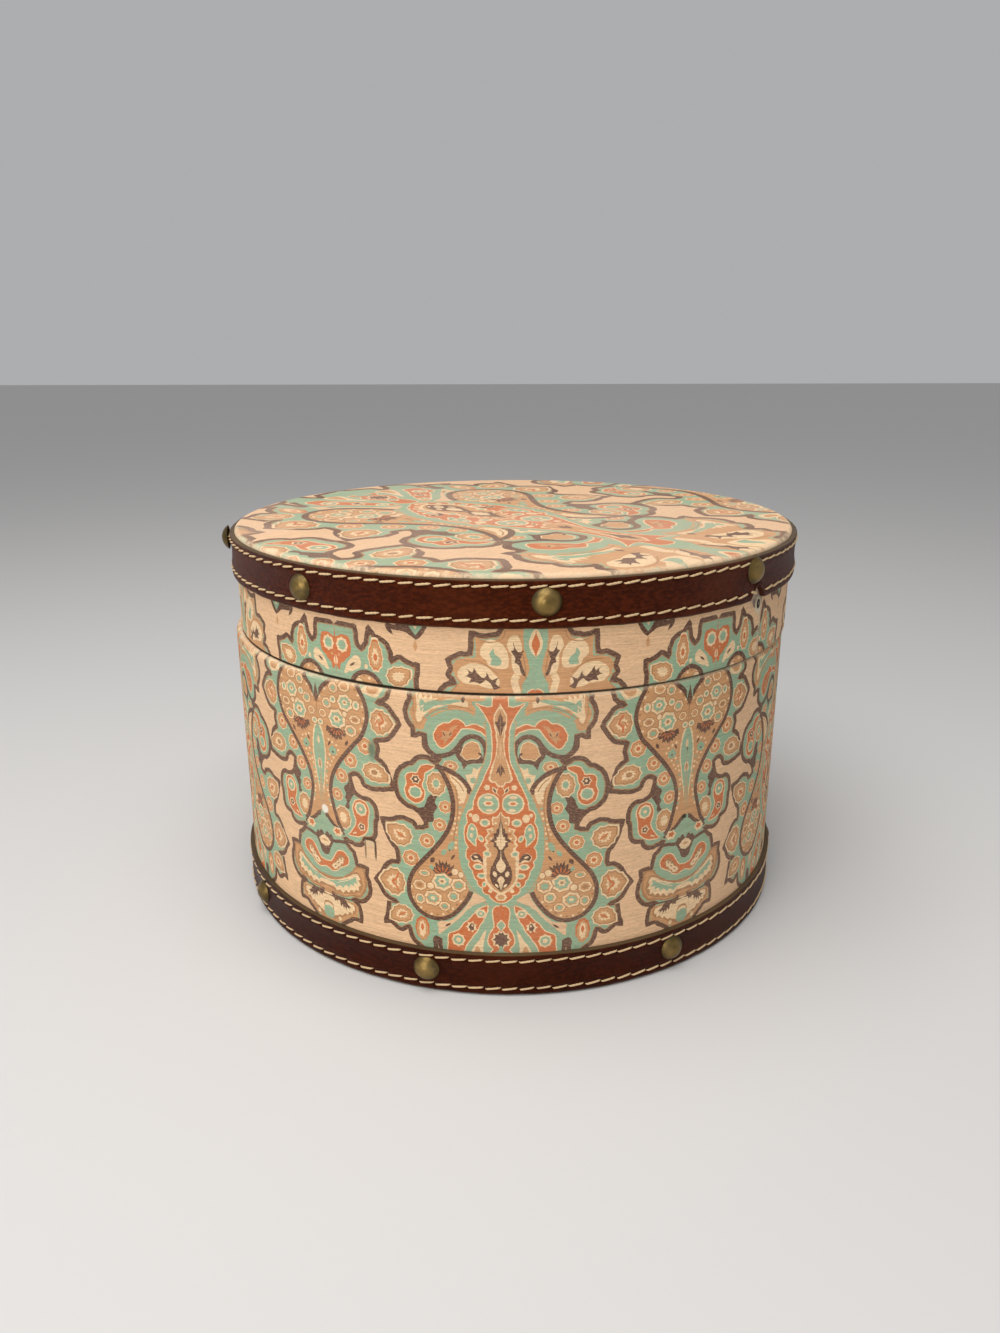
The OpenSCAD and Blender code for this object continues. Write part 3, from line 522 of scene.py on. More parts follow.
    dye("plum", leaf(68.6, 48.2, 1.5, 0.5, -50), leaf(70.2, 46.2, 1.7, 0.5, -40), leaf(72, 44.4, 1.6, 0.5, -35), blob(71, 48, 0.3, 0.3),
        blob(66.2, 49.6, 0.3, 0.3))
    dye("tan", path("62,29.6 61.2,26 61.6,24 65,23.4 68,21 71,18.8 79,17 79,31 70,30.4"))
    dye("ochre", path("62.7,29.2 62.2,26.2 62.9,25 66,23.8 69,22 72,20.4 79,19.4 79,30.6 70,30"))
    dye("cream", path("63.4,28.8 62.8,26.8* 64,26.2 64.2,24.8* 65.8,25.2 66.8,23.4* 68.2,24 69.6,22.2* 71.2,22.6 73,21.4 79,21.4 79,30 70,29.8"))
    dye("plum", path("64.6,27.4* 66.2,28.2 68,30.4 72,30.8 75.2,31.6* 74.8,30.2 76,29.6* 74,29.4 73.6,27.8* 72.6,28.8 71.6,27.2* 71,28.6 70.2,26.4*"
                     " 69.4,27.6 68.6,25.2* 68.2,27 67,25.4* 67,27.2 65.4,26.2* 66,27.4"),
        path("79,35.4* 77.6,34.4 76.4,34.6* 76.8,32.8 75.4,32.4* 76.6,31.4 75.6,29.8* 77,30.2 76.8,28* 79,29*"))
    dye("cream", blob(71.3, 28.3, 0.8, 0.8))
    dye("ochre", stroke("75.6,27 74.6,24.6 75,22.4", 0.4))
    dye("aqua", path("79,26* 76.6,25.6 74.8,24 74.2,21.6 75.2,19.4 77,18 79,18*"))
    dye("cream", stroke("77,25 76.4,22.6", 0.5), blob(71.2, 20.4, 0.9, 1.0, 5, 0.2))


drawVaseMotif()
vaseShapes = len(printed)
drawTwinMotif()
for i in range(vaseShapes, len(printed)):  # the twin motif was read where it leans, so it is set upright
    number, outline = printed[i]
    beyond = outline[:, 0] > halfRepeat - 0.1
    outline[:, 0] -= lean(outline[:, 1]) * outline[:, 0] / halfRepeat
    outline[:, 0] = np.where(beyond, np.maximum(outline[:, 0], halfRepeat + 0.5), outline[:, 0])


def isInside(outline, x, y):
    # by winding, so that an outline may cross itself
    turns = np.zeros(len(x), int)
    low, high = outline.min(0), outline.max(0)
    near = np.nonzero((x > low[0]) & (x < high[0]) & (y > low[1]) & (y < high[1]))[0]
    if not len(near):
        return turns.astype(bool)
    px, py = x[near], y[near]
    found = np.zeros(len(near), int)
    ahead = np.roll(outline, -1, 0)
    for (ax, ay), (bx, by) in zip(outline, ahead):
        left = (bx - ax) * (py - ay) - (px - ax) * (by - ay)
        found += ((ay <= py) & (by > py) & (left > 0)).astype(int)
        found -= ((ay > py) & (by <= py) & (left < 0)).astype(int)
    turns[near] = found
    return turns != 0


def dyeAt(x, y):
    # the number of the dye on top at each point of the cloth
    across = np.abs(np.mod(x + halfRepeat, 2 * halfRepeat) - halfRepeat)
    top = np.zeros(len(x), int)
    for number, outline in printed:
        top[isInside(outline, across, y)] = number
    return top


def triangulated(lines, near):
    # triangles between the lines, as their corners and faces
    spots, edges = [], []
    for line, closed in lines:
        if near(line).any():
            start, count = len(spots), len(line)
            spots.extend(Vector((float(p[0]), float(p[1]))) for p in line)
            edges.extend((start + i, start + (i + 1) % count) for i in range(count if closed else count - 1))
    corners, _, faces, *_ = delaunay_2d_cdt(spots, edges, [], 0, 0.004)
    return np.array([tuple(c) for c in corners]), np.array([f for f in faces if len(f) == 3])


def dyeBorders(corners, faces, numbers, slack=0.07):
    # the lines where one dye meets another, without the points that hardly bend them
    sides = np.sort(np.concatenate((faces[:, :2], faces[:, 1:], faces[:, ::2])), axis=1)
    owners = np.tile(numbers, 3)
    order = np.lexsort((sides[:, 1], sides[:, 0]))
    sides, owners = sides[order], owners[order]
    paired = np.all(sides[1:] == sides[:-1], axis=1)
    meeting = sides[1:][paired & (owners[1:] != owners[:-1]) & (owners[1:] >= 0) & (owners[:-1] >= 0)]
    joined = {}
    for a, b in meeting.tolist():
        joined.setdefault(a, set()).add(b)
        joined.setdefault(b, set()).add(a)
    for _ in range(4):
        fixed = set()
        for spot in list(joined):
            if spot in fixed or len(joined[spot]) != 2:
                continue
            a, b = joined[spot]
            if b in joined[a] or len(joined[a]) > 2 or len(joined[b]) > 2:
                continue
            chord = corners[b] - corners[a]
            span = math.hypot(*chord)
            away = corners[spot] - corners[a]
            if span < 4.0 and abs(chord[0] * away[1] - chord[1] * away[0]) < slack * max(span, 1e-6):
                joined[a].remove(spot)
                joined[b].remove(spot)
                joined[a].add(b)
                joined[b].add(a)
                del joined[spot]
                fixed.update((a, b))
    return [(np.array((corners[a], corners[b])), False) for a in joined for b in joined[a] if a < b]


def mappedCloth(extraLines, copies, keep):
    # triangles of the flat print: their corners, and the dye of each
    drawn = [(outline * np.array((flip, 1.0)) + np.array((shift, 0.0)), True) for flip, shift in copies for _, outline in printed]
    corners, faces = triangulated(extraLines[:1] + drawn, keep)
    middles = corners[faces].mean(1)
    numbers = np.where(keep(middles), dyeAt(middles[:, 0], middles[:, 1]), -1)
    borders = dyeBorders(corners, faces, numbers)
    corners, faces = triangulated(extraLines + borders, lambda line: keep(line.mean(0)[None]))
    middles = corners[faces].mean(1)
    good = keep(middles)
    faces, middles = faces[good], middles[good]
    used, faces = np.unique(faces, return_inverse=True)
    return corners[used], faces.reshape(-1, 3), dyeAt(middles[:, 0], middles[:, 1])


def meshPiece(name, corners, faces, numbers, flat):
    mesh = bpy.data.meshes.new(name)
    mesh.from_pydata(corners.tolist(), [], faces.tolist())
    colours = mesh.color_attributes.new("printColour", "FLOAT_COLOR", "CORNER")
    table = np.array([(*dyes[n], 1.0) for n in dyeNames])
    colours.data.foreach_set("color", np.repeat(table[numbers], 3, 0).ravel())
    uv = mesh.uv_layers.new(name="cloth")
    uv.data.foreach_set("uv", (flat[faces.ravel()] / 100.0).ravel())
    piece = bpy.data.objects.new(name, mesh)
    bpy.context.collection.objects.link(piece)
    return piece


def selectOnly(piece):
    bpy.ops.object.select_all(action="DESELECT")
    piece.select_set(True)
    bpy.context.view_layer.objects.active = piece


def halfTile(low, high, folds, bends=12):
    # one half repeat laid flat, with lines for the cloth to bend and fold at
    lines = [(np.array(((0, low), (halfRepeat, low), (halfRepeat, high), (0, high))), True)]
    heights = np.linspace(low, high, 21)
    lines += [(np.stack((np.full(21, halfRepeat * i / bends), heights), 1), False) for i in range(1, bends)]
    lines += [(np.array(((0, z), (halfRepeat, z))), False) for z in folds]
    return mappedCloth(lines, [(1, 0)], lambda p: (p[:, 0] > 0) & (p[:, 0] < halfRepeat) & (p[:, 1] > low) & (p[:, 1] < high))


def flatBand(name, low, high, folds, ends):
    # half repeats side by side, mirrored in turn, cut to the length
    tileSpots, tileFaces, tileDyes = halfTile(low, high, folds)
    corners, faces, numbers = [], [], []
    first = math.floor(ends[0] / halfRepeat)
    for k in range(first, math.ceil(ends[1] / halfRepeat)):
        flip = k % 2
        across = (k + 1) * halfRepeat - tileSpots[:, 0] if flip else k * halfRepeat + tileSpots[:, 0]
        corners.append(np.stack((across, tileSpots[:, 1], np.zeros(len(across))), 1))
        faces.append((tileFaces[:, ::-1] if flip else tileFaces) + len(tileSpots) * (k - first))
        numbers.append(tileDyes)
    corners = np.concatenate(corners)
    piece = meshPiece(name, corners, np.concatenate(faces), np.concatenate(numbers), corners[:, :2])
    selectOnly(piece)
    bpy.ops.object.mode_set(mode="EDIT")
    bpy.ops.mesh.select_all(action="SELECT")
    bpy.ops.mesh.remove_doubles(threshold=0.001)
    for at, way in zip(ends, (-1, 1)):
        bpy.ops.mesh.select_all(action="SELECT")
        bpy.ops.mesh.bisect(plane_co=(at, 0, 0), plane_no=(way, 0, 0), clear_outer=True, threshold=0.0005)
    bpy.ops.object.mode_set(mode="OBJECT")
    return piece


def alongProfile(profile, s):
    # radius and height at a distance along the profile, and the outward direction there
    stops = np.array([p[0] for p in profile])
    return (np.interp(s, stops, [p[1] for p in profile]), np.interp(s, stops, [p[2] for p in profile]),
            np.interp(s, stops, [p[3] for p in profile]), np.interp(s, stops, [p[4] for p in profile]))


def roundCorner(startS, centreR, centreZ, radius, fromDeg, toDeg, parts=5):
    # stops along a rounded corner: distance, radius, height, outward radial part, outward upward part
    stops = []
    for i in range(parts + 1):
        a = math.radians(fromDeg + (toDeg - fromDeg) * i / parts)
        s = startS + radius * abs(math.radians(toDeg - fromDeg)) * i / parts
        stops.append((s, centreR + radius * math.cos(a), centreZ + radius * math.sin(a), math.cos(a), math.sin(a)))
    return stops


mm = 0.001


def ringTo(radius, z, centreX=0.0):
    # the selected open edge is extruded, then drawn to that radius and height
    bpy.ops.mesh.extrude_edges_move()
    mesh = bmesh.from_edit_mesh(bpy.context.object.data)
    for v in mesh.verts:
        if v.select:
            flat = Vector((v.co.x - centreX, v.co.y))
            flat *= radius / max(flat.length, 1e-6)
            v.co = (centreX + flat.x, flat.y, z)
    bmesh.update_edit_mesh(bpy.context.object.data)


def pickOpenEdge(z, radius=None, centreX=0.0, near=0.02):
    # selects the open edges that lie at that height, and at that radius if one is given
    bpy.ops.mesh.select_all(action="DESELECT")
    bpy.ops.mesh.select_mode(type="EDGE")
    mesh = bmesh.from_edit_mesh(bpy.context.object.data)
    for edge in mesh.edges:
        if edge.is_boundary and all(
                abs(v.co.z - z) < near
                and (radius is None or abs(math.hypot(v.co.x - centreX, v.co.y) - radius) < near) for v in edge.verts):
            edge.select_set(True)
    bmesh.update_edit_mesh(bpy.context.object.data)


def shellInside(startLoop, rings, endLoop, centreX=0.0):
    # closes the cloth with a plain inner side, from one open edge round to the other
    pickOpenEdge(startLoop[1], startLoop[0], centreX)
    for radius, z in rings:
        ringTo(radius, z, centreX)
    pickOpenEdge(rings[-1][1], rings[-1][0], centreX)
    mesh = bmesh.from_edit_mesh(bpy.context.object.data)
    for edge in mesh.edges:
        if edge.is_boundary and all(
                abs(v.co.z - endLoop[1]) < 0.02 and abs(math.hypot(v.co.x - centreX, v.co.y) - endLoop[0]) < 0.02 for v in edge.verts):
            edge.select_set(True)
    bmesh.update_edit_mesh(bpy.context.object.data)
    bpy.ops.mesh.bridge_edge_loops()


def finishCloth(piece, outward):
    # millimetres to metres, with the smooth normals of the true form on the printed side
    bpy.ops.object.mode_set(mode="OBJECT")
    mesh = piece.data
    count = len(mesh.vertices)
    spots = np.empty(count * 3)
    mesh.vertices.foreach_get("co", spots)
    spots = spots.reshape(-1, 3)
    mesh.shade_smooth()
    mesh.update()
    plain = np.empty(count * 3)
    mesh.vertices.foreach_get("normal", plain)
    plain = plain.reshape(-1, 3)
    wanted, known = outward(spots)
    normals = np.where(known[:, None], wanted, plain)
    mesh.vertices.foreach_set("co", (spots * mm).ravel())
    mesh.update()
    mesh.normals_split_custom_set_from_vertices(normals.tolist())
    print(piece.name, len(mesh.polygons), "faces")


def wrapBand(name, profile, ends, angleOf, centreX, folds, startLoop, rings, endLoop):
    piece = flatBand(name, profile[0][0], profile[-1][0], folds, ends)
    mesh = piece.data
    spots = np.empty(len(mesh.vertices) * 3)
    mesh.vertices.foreach_get("co", spots)
    spots = spots.reshape(-1, 3)
    radius, height, outR, outZ = alongProfile(profile, spots[:, 1])
    turn = np.radians(angleOf(spots[:, 0], spots[:, 1]))
    wrapped = np.stack((centreX + radius * np.sin(turn), -radius * np.cos(turn), height), 1)
    mesh.vertices.foreach_set("co", wrapped.ravel())
    mesh.update()
    bpy.ops.object.mode_set(mode="EDIT")
    bpy.ops.mesh.select_all(action="SELECT")
    bpy.ops.mesh.remove_doubles(threshold=0.002)
    shellInside(startLoop, rings, endLoop, centreX)
    bpy.ops.mesh.select_all(action="SELECT")
    bpy.ops.mesh.fill_holes(sides=0)  # the raw ends at an open seam
    bpy.ops.mesh.select_all(action="SELECT")
    bpy.ops.mesh.normals_make_consistent(inside=False)
    stops = np.array([p[1:3] for p in profile])

    def outward(spots):
        # the direction of the profile where a vertex lies on it
        r = np.hypot(spots[:, 0] - centreX, spots[:, 1])
        s = np.full(len(r), np.nan)
        best = np.full(len(r), 0.03)
        for i in range(len(profile) - 1):
            a, b = stops[i], stops[i + 1]
            span = b - a
            size = np.dot(span, span)
            if size < 1e-9:
                continue
            t = np.clip(((r - a[0]) * span[0] + (spots[:, 2] - a[1]) * span[1]) / size, 0, 1)
            off = np.hypot(r - a[0] - t * span[0], spots[:, 2] - a[1] - t * span[1])
            closer = off < best
            s = np.where(closer, profile[i][0] + t * (profile[i + 1][0] - profile[i][0]), s)
            best = np.where(closer, off, best)
        known = ~np.isnan(s)
        _, _, nr, nz = alongProfile(profile, np.nan_to_num(s))
        out = np.stack(((spots[:, 0] - centreX) / r * nr, spots[:, 1] / r * nr, nz), 1)
        out /= np.maximum(np.linalg.norm(out, axis=1), 1e-6)[:, None]
        return out, known

    finishCloth(piece, outward)
    return piece


# the cloth on the body: under the foot, up the wall, over the rim and down behind the collar
bodyWrap = dict(motifTurn=0.41, underR=110.5, footZ=0.6, footRound=0.6, rimRound=2.5, collarR=119.0, turnedTo=114.5)
footCentre = bodyWrap["footZ"] + bodyWrap["footRound"]
footStart = footCentre - bodyWrap["footRound"] * math.pi / 2
footR = box["bodyR"] - bodyWrap["footRound"]
rimStart, rimR = box["rimZ"] - bodyWrap["rimRound"], box["bodyR"] - bodyWrap["rimRound"]
rimEnd = rimStart + bodyWrap["rimRound"] * math.pi / 2
rimInner = rimEnd + rimR - bodyWrap["collarR"]
bodyProfile = ([(footStart - footR + bodyWrap["underR"], bodyWrap["underR"], bodyWrap["footZ"], 0, -1)]
               + roundCorner(footStart, footR, footCentre, bodyWrap["footRound"], -90, 0, 3)
               + roundCorner(rimStart, rimR, rimStart, bodyWrap["rimRound"], 0, 90, 6)
               + [(rimInner, bodyWrap["collarR"], box["rimZ"], 0, 1), (rimInner + 0.01, bodyWrap["collarR"], box["rimZ"], -1, 0),
                  (rimInner + box["rimZ"] - bodyWrap["turnedTo"], bodyWrap["collarR"], bodyWrap["turnedTo"], -1, 0)])


def bodyAngle(across, up):
    # the print leans a little to the right of the middle motif
    side = np.clip(across / halfRepeat, 0, 2)
    weight = np.where(side < 1, side, 2 - side)
    return bodyWrap["motifTurn"] + np.degrees((across + weight * lean(up)) / box["bodyR"])


bodyCloth = wrapBand(
    "printed_body_cloth", bodyProfile, (-math.pi * box["bodyR"], math.pi * box["bodyR"]), bodyAngle, 0.0,
    [p[0] for p in bodyProfile[1:-1] if p[0] not in (rimInner + 0.01,)],
    (bodyWrap["collarR"], bodyWrap["turnedTo"]),
    [(119.5, 114.5), (119.5, 123.0), (122.5, 123.0), (124.5, 121.0), (124.5, 1.1), (110.5, 1.1)],
    (bodyWrap["underR"], bodyWrap["footZ"]))

# the cloth on the lid's side: inside, round the hem, up under the strap
lidWrap = dict(motifTurn=5.4, twinLeft=-30.3, twinRight=39.9, hemRound=1.0, innerR=121.5, turnedTo=132.8)
hemStart = box["lidZ"] + lidWrap["hemRound"] - lidWrap["hemRound"] * math.pi / 2
hemR = box["lidR"] - lidWrap["hemRound"]
hemInner = hemStart - (hemR - lidWrap["innerR"])
lidProfile = ([(hemInner - lidWrap["turnedTo"] + box["lidZ"], lidWrap["innerR"], lidWrap["turnedTo"], -1, 0),
               (hemInner - 0.01, lidWrap["innerR"], box["lidZ"], -1, 0), (hemInner, lidWrap["innerR"], box["lidZ"], 0, -1)]
              + roundCorner(hemStart, hemR, box["lidZ"] + lidWrap["hemRound"], lidWrap["hemRound"], -90, 0, 4)
              + [(box["sideTop"], box["lidR"], box["sideTop"], 1, 0)])
degreesPerMm = math.degrees(1 / box["lidR"])
# its ends meet under the strap's join, where the print doesn't match
lidSeam = dict(turn=53.5, gap=0.13, backLength=590.2)
lidEnds = (-halfRepeat - lidSeam["backLength"], halfRepeat + (lidSeam["turn"] - lidWrap["twinRight"]) / degreesPerMm)


def lidAngle(across, up):
    stops = (lidEnds[0], -halfRepeat, 0, halfRepeat, lidEnds[1])
    turns = (lidSeam["turn"] + lidSeam["gap"] - 360, lidWrap["twinLeft"], lidWrap["motifTurn"], lidWrap["twinRight"], lidSeam["turn"])
    return np.interp(across, stops, turns)


lidSideCloth = wrapBand(
    "printed_lid_side_cloth", lidProfile, lidEnds, lidAngle, box["lidShift"],
    [p[0] for p in lidProfile[2:-1]],
    (box["lidR"], box["sideTop"]),
    [(123.6, 157.5), (123.6, 124.8), (123.1, 124.3), (122.0, 124.3), (122.0, 132.8)],
    (lidWrap["innerR"], lidWrap["turnedTo"]))

# the cloth on the lid's top: the same print, larger and turned
topWrap = dict(scale=1.78, middle=(-4.5, 73.0), upWay=(0.7398, -0.6728), edgeRound=2.0, boardZ=167.0, hoopR=123.6)


def coverTop():
    flatR = box["lidR"] - topWrap["edgeRound"]
    profile = ([(0, 0, box["lidTop"], 0, 1)]
               + roundCorner(flatR, flatR, box["lidTop"] - topWrap["edgeRound"], topWrap["edgeRound"], 90, 0, 6))
    profile.append((profile[-1][0] + box["lidTop"] - topWrap["edgeRound"] - box["sideTop"], box["lidR"], box["sideTop"], 1, 0))
    middle = np.array(topWrap["middle"])
    scale = topWrap["scale"]
    around = np.linspace(0, 2 * math.pi, 200, endpoint=False)
    ringDirections = np.stack((np.cos(around), np.sin(around)), 1)
    rings = [(middle + ringDirections * stop[0] / scale, True) for stop in profile[1:]]
    limit = profile[-1][0] / scale
    copies = [(1, 0), (-1, 0), (1, -2 * halfRepeat)]
    corners, faces, numbers = mappedCloth(
        rings, copies, lambda p: np.hypot(p[:, 0] - middle[0], p[:, 1] - middle[1]) < limit * 0.99999)
    offsets = (corners - middle) * scale
    upWay = np.array(topWrap["upWay"])
    acrossWay = np.array((upWay[1], -upWay[0]))
    planar = offsets[:, :1] * acrossWay + offsets[:, 1:] * upWay
    reach = np.hypot(planar[:, 0], planar[:, 1])
    radius, height, outR, outZ = alongProfile(profile, reach)
    unit = planar / np.maximum(reach, 1e-6)[:, None]
    spots = np.stack((box["lidShift"] + unit[:, 0] * radius, unit[:, 1] * radius, height), 1)
    piece = meshPiece("printed_lid_top_cloth", spots, faces, numbers, corners * scale)
    selectOnly(piece)
    bpy.ops.object.mode_set(mode="EDIT")
    pickOpenEdge(box["sideTop"], box["lidR"], box["lidShift"])
    for ringR, ringZ in ((123.6, 157.5), (123.6, 165.5), (122.1, 167.0), (60.0, 167.0), (0.5, 167.0)):
        ringTo(ringR, ringZ, box["lidShift"])
    bpy.ops.mesh.merge(type="CENTER")
    bpy.ops.mesh.select_all(action="SELECT")
    bpy.ops.mesh.normals_make_consistent(inside=False)

    def outward(spots):
        r = np.hypot(spots[:, 0] - box["lidShift"], spots[:, 1])
        overEdge = (r > flatR - 0.01) & (spots[:, 2] > box["sideTop"] - 0.01)
        onTop = np.abs(spots[:, 2] - box["lidTop"]) < 0.01
        fromEdge = np.hypot(r - flatR, spots[:, 2] - profile[1][2] + topWrap["edgeRound"])
        onEdge = overEdge & (np.abs(fromEdge - topWrap["edgeRound"]) < 0.02) & (spots[:, 2] > box["lidTop"] - topWrap["edgeRound"] - 0.01)
        onSide = np.abs(r - box["lidR"]) < 0.01
        tilt = np.arctan2(np.maximum(spots[:, 2] - box["lidTop"] + topWrap["edgeRound"], 0), np.maximum(r - flatR, 0))
        tilt = np.where(onTop, math.pi / 2, tilt)
        out = np.stack(((spots[:, 0] - box["lidShift"]) / np.maximum(r, 1e-6) * np.cos(tilt),
                        spots[:, 1] / np.maximum(r, 1e-6) * np.cos(tilt), np.sin(tilt)), 1)
        return out, onTop | onEdge | onSide

    finishCloth(piece, outward)
    return piece


lidTopCloth = coverTop()
for piece, node, body in ((bodyCloth, "body_cloth", "box"), (lidSideCloth, "lid_side_cloth", "lid"), (lidTopCloth, "lid_top_cloth", "lid")):
    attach(piece, body)
    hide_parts(node)
print("cloth is on")


# ---------- straps ----------

def ringPoint(turn, radius, z, centreX):
    return centreX + radius * math.sin(turn), -radius * math.cos(turn), z


stitchWay = dict(pitch=6.65, length=6.5, slant=0.85, thick=0.84)
straps = dict(
    base=dict(faceR=127.0, innerR=125.0, low=0.5, high=18.2, rows=(15.5, 3.3), centreX=0.0, join=88.0, count=120, body="box",
              node="base_strap", threads=("base_stitches_upper", "base_stitches_lower"), firstStitch=0.4),
    lid=dict(faceR=126.1, innerR=124.1, low=148.3, high=165.7, rows=(163.5, 151.5), centreX=1.7, join=48.5, count=118, body="lid",
             node="lid_strap", threads=("lid_stitches_upper", "lid_stitches_lower"), firstStitch=1.1))
tear = dict(beyond=1.7, reach=2.3, rise=6.2)  # the lid's strap has torn open under the tack at its join


def strapPiece(name, way):
    # a closed section spun round the box, then pressed in by its stitches
    low, high, face, inner = way["low"], way["high"], way["faceR"], way["innerR"]
    upper, lower = way["rows"]
    rise = [low + 0.15, low + 0.5, low + 1.2, lower - 1.1, lower - 0.5, lower, lower + 0.5, lower + 1.1, lower + 2.4]
    rise += [lower + 3.4 + i * (upper - lower - 6.8) / 4 for i in range(5)]
    rise += [upper - 2.4, upper - 1.1, upper - 0.5, upper, upper + 0.5, upper + 1.1, high - 0.5, high - 0.15]
    rise = sorted(set(round(z, 3) for z in rise if low < z < high))
    section = [(inner, low), (inner + 1.0, low), (face - 0.45, low)]
    section += [(face - (0.2 if z < low + 0.3 or z > high - 0.3 else 0.0), z) for z in rise]
    section += [(face - 0.45, high), (inner + 1.0, high), (inner, high), (inner, (low + high) / 2)]
    slit = 0.6 / face
    start = math.radians(way["join"]) + slit / 2
    corners = [ringPoint(start, r, z, way["centreX"]) for r, z in section]
    mesh = bpy.data.meshes.new(name)
    mesh.from_pydata(corners, [], [tuple(range(len(corners)))])
    piece = bpy.data.objects.new(name, mesh)
    bpy.context.collection.objects.link(piece)
    selectOnly(piece)
    bpy.ops.object.mode_set(mode="EDIT")
    bpy.ops.mesh.select_all(action="SELECT")
    bpy.ops.mesh.spin(steps=way["count"] * 4, angle=2 * math.pi - slit, center=(way["centreX"], 0, 0), axis=(0, 0, 1))
    bpy.ops.mesh.select_all(action="SELECT")
    bpy.ops.mesh.remove_doubles(threshold=0.0005)
    bpy.ops.mesh.normals_make_consistent(inside=False)
    mesh = bmesh.from_edit_mesh(piece.data)
    turns = 2 * math.pi / way["count"]
    for v in mesh.verts:
        x, y = v.co.x - way["centreX"], v.co.y
        r, turn, z = math.hypot(x, y), math.atan2(x, -y), v.co.z
        if way["body"] == "lid":
            away = abs((math.degrees(turn) - way["join"] - tear["beyond"] + 180) % 360 - 180)
            v.co.z += tear["rise"] * max(0.0, 1 - away / tear["reach"]) ** 0.7 * max(0.0, 1 - (z - low) / ((high - low) / 2))
        if r < inner + 0.5:
            continue
        along = ((turn - math.radians(way["firstStitch"])) / turns) % 1.0
        move = 0.0
        if r > face - 0.3:
            middle = (upper + lower) / 2
            hollow = max(0.0, 1 - ((z - middle) / 4.8) ** 2)
            move -= 0.38 * hollow
            for row in (upper, lower):
                away = abs(z - row)
                pull = math.exp(-(away / 0.75) ** 2)
                move -= pull * (0.28 + 0.3 * math.cos(2 * math.pi * along))
                move += 0.16 * math.exp(-((away - 1.5) / 0.6) ** 2) * (0.6 + 0.4 * math.cos(4 * math.pi * along + 1))
        wave = 0.10 * math.sin(turn * 7 + z * 0.2) + 0.07 * math.sin(turn * 23 + 1.3) + 0.04 * math.sin(turn * 61 + z)
        move += wave * (0.6 if r > face - 0.6 else 0.3)
        v.co.x = way["centreX"] + x / r * (r + move)
        v.co.y = y / r * (r + move)
        if z > high - 0.3 or z < low + 0.3:
            v.co.z += 0.08 * math.sin(turn * 31) + 0.07 * math.sin(turn * 83 + 2)
    bmesh.update_edit_mesh(piece.data)
    bpy.ops.mesh.select_all(action="SELECT")
    bpy.ops.transform.resize(value=(mm, mm, mm), center_override=(0, 0, 0))
    bpy.ops.object.mode_set(mode="OBJECT")
    bpy.ops.object.shade_smooth_by_angle(angle=math.radians(50))
    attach(piece, way["body"])
    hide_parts(way["node"])
    return piece


def stitchMesh():
    # one stitch lying along +X, twisted from two plies, its ends turned down into the leather
    bpy.ops.object.select_all(action="DESELECT")
    bpy.ops.mesh.primitive_cylinder_add(vertices=8, radius=stitchWay["thick"] / 2, depth=stitchWay["length"],
                                        rotation=(0, math.pi / 2, 0), end_fill_type="TRIFAN")
    stitch = bpy.context.object
    bpy.ops.object.transform_apply(rotation=True)
    bpy.ops.object.mode_set(mode="EDIT")
    half = stitchWay["length"] / 2
    for i in range(1, 8):
        bpy.ops.mesh.select_all(action="SELECT")
        bpy.ops.mesh.bisect(plane_co=(-half + i * half / 4, 0, 0), plane_no=(1, 0, 0))
    mesh = bmesh.from_edit_mesh(stitch.data)
    for v in mesh.verts:
        t = v.co.x / half
        angle = math.atan2(v.co.z, v.co.y)
        size = math.hypot(v.co.y, v.co.z)
        ply = 1 + 0.16 * math.cos(2 * (angle - v.co.x * 1.9))
        taper = 1 - 0.45 * abs(t) ** 4
        y, z = size * ply * taper * math.cos(angle), size * ply * taper * math.sin(angle)
        v.co = (v.co.x * (1.0 if abs(t) < 0.9 else 0.98), y, z - 0.72 * max(0.0, abs(t) - 0.68) ** 2 / 0.10 + 0.14)
    bmesh.update_edit_mesh(stitch.data)
    bpy.ops.object.mode_set(mode="OBJECT")
    spots = np.array([tuple(v.co) for v in stitch.data.vertices])
    faces = [tuple(p.vertices) for p in stitch.data.polygons]
    bpy.data.objects.remove(stitch)
    return spots, faces


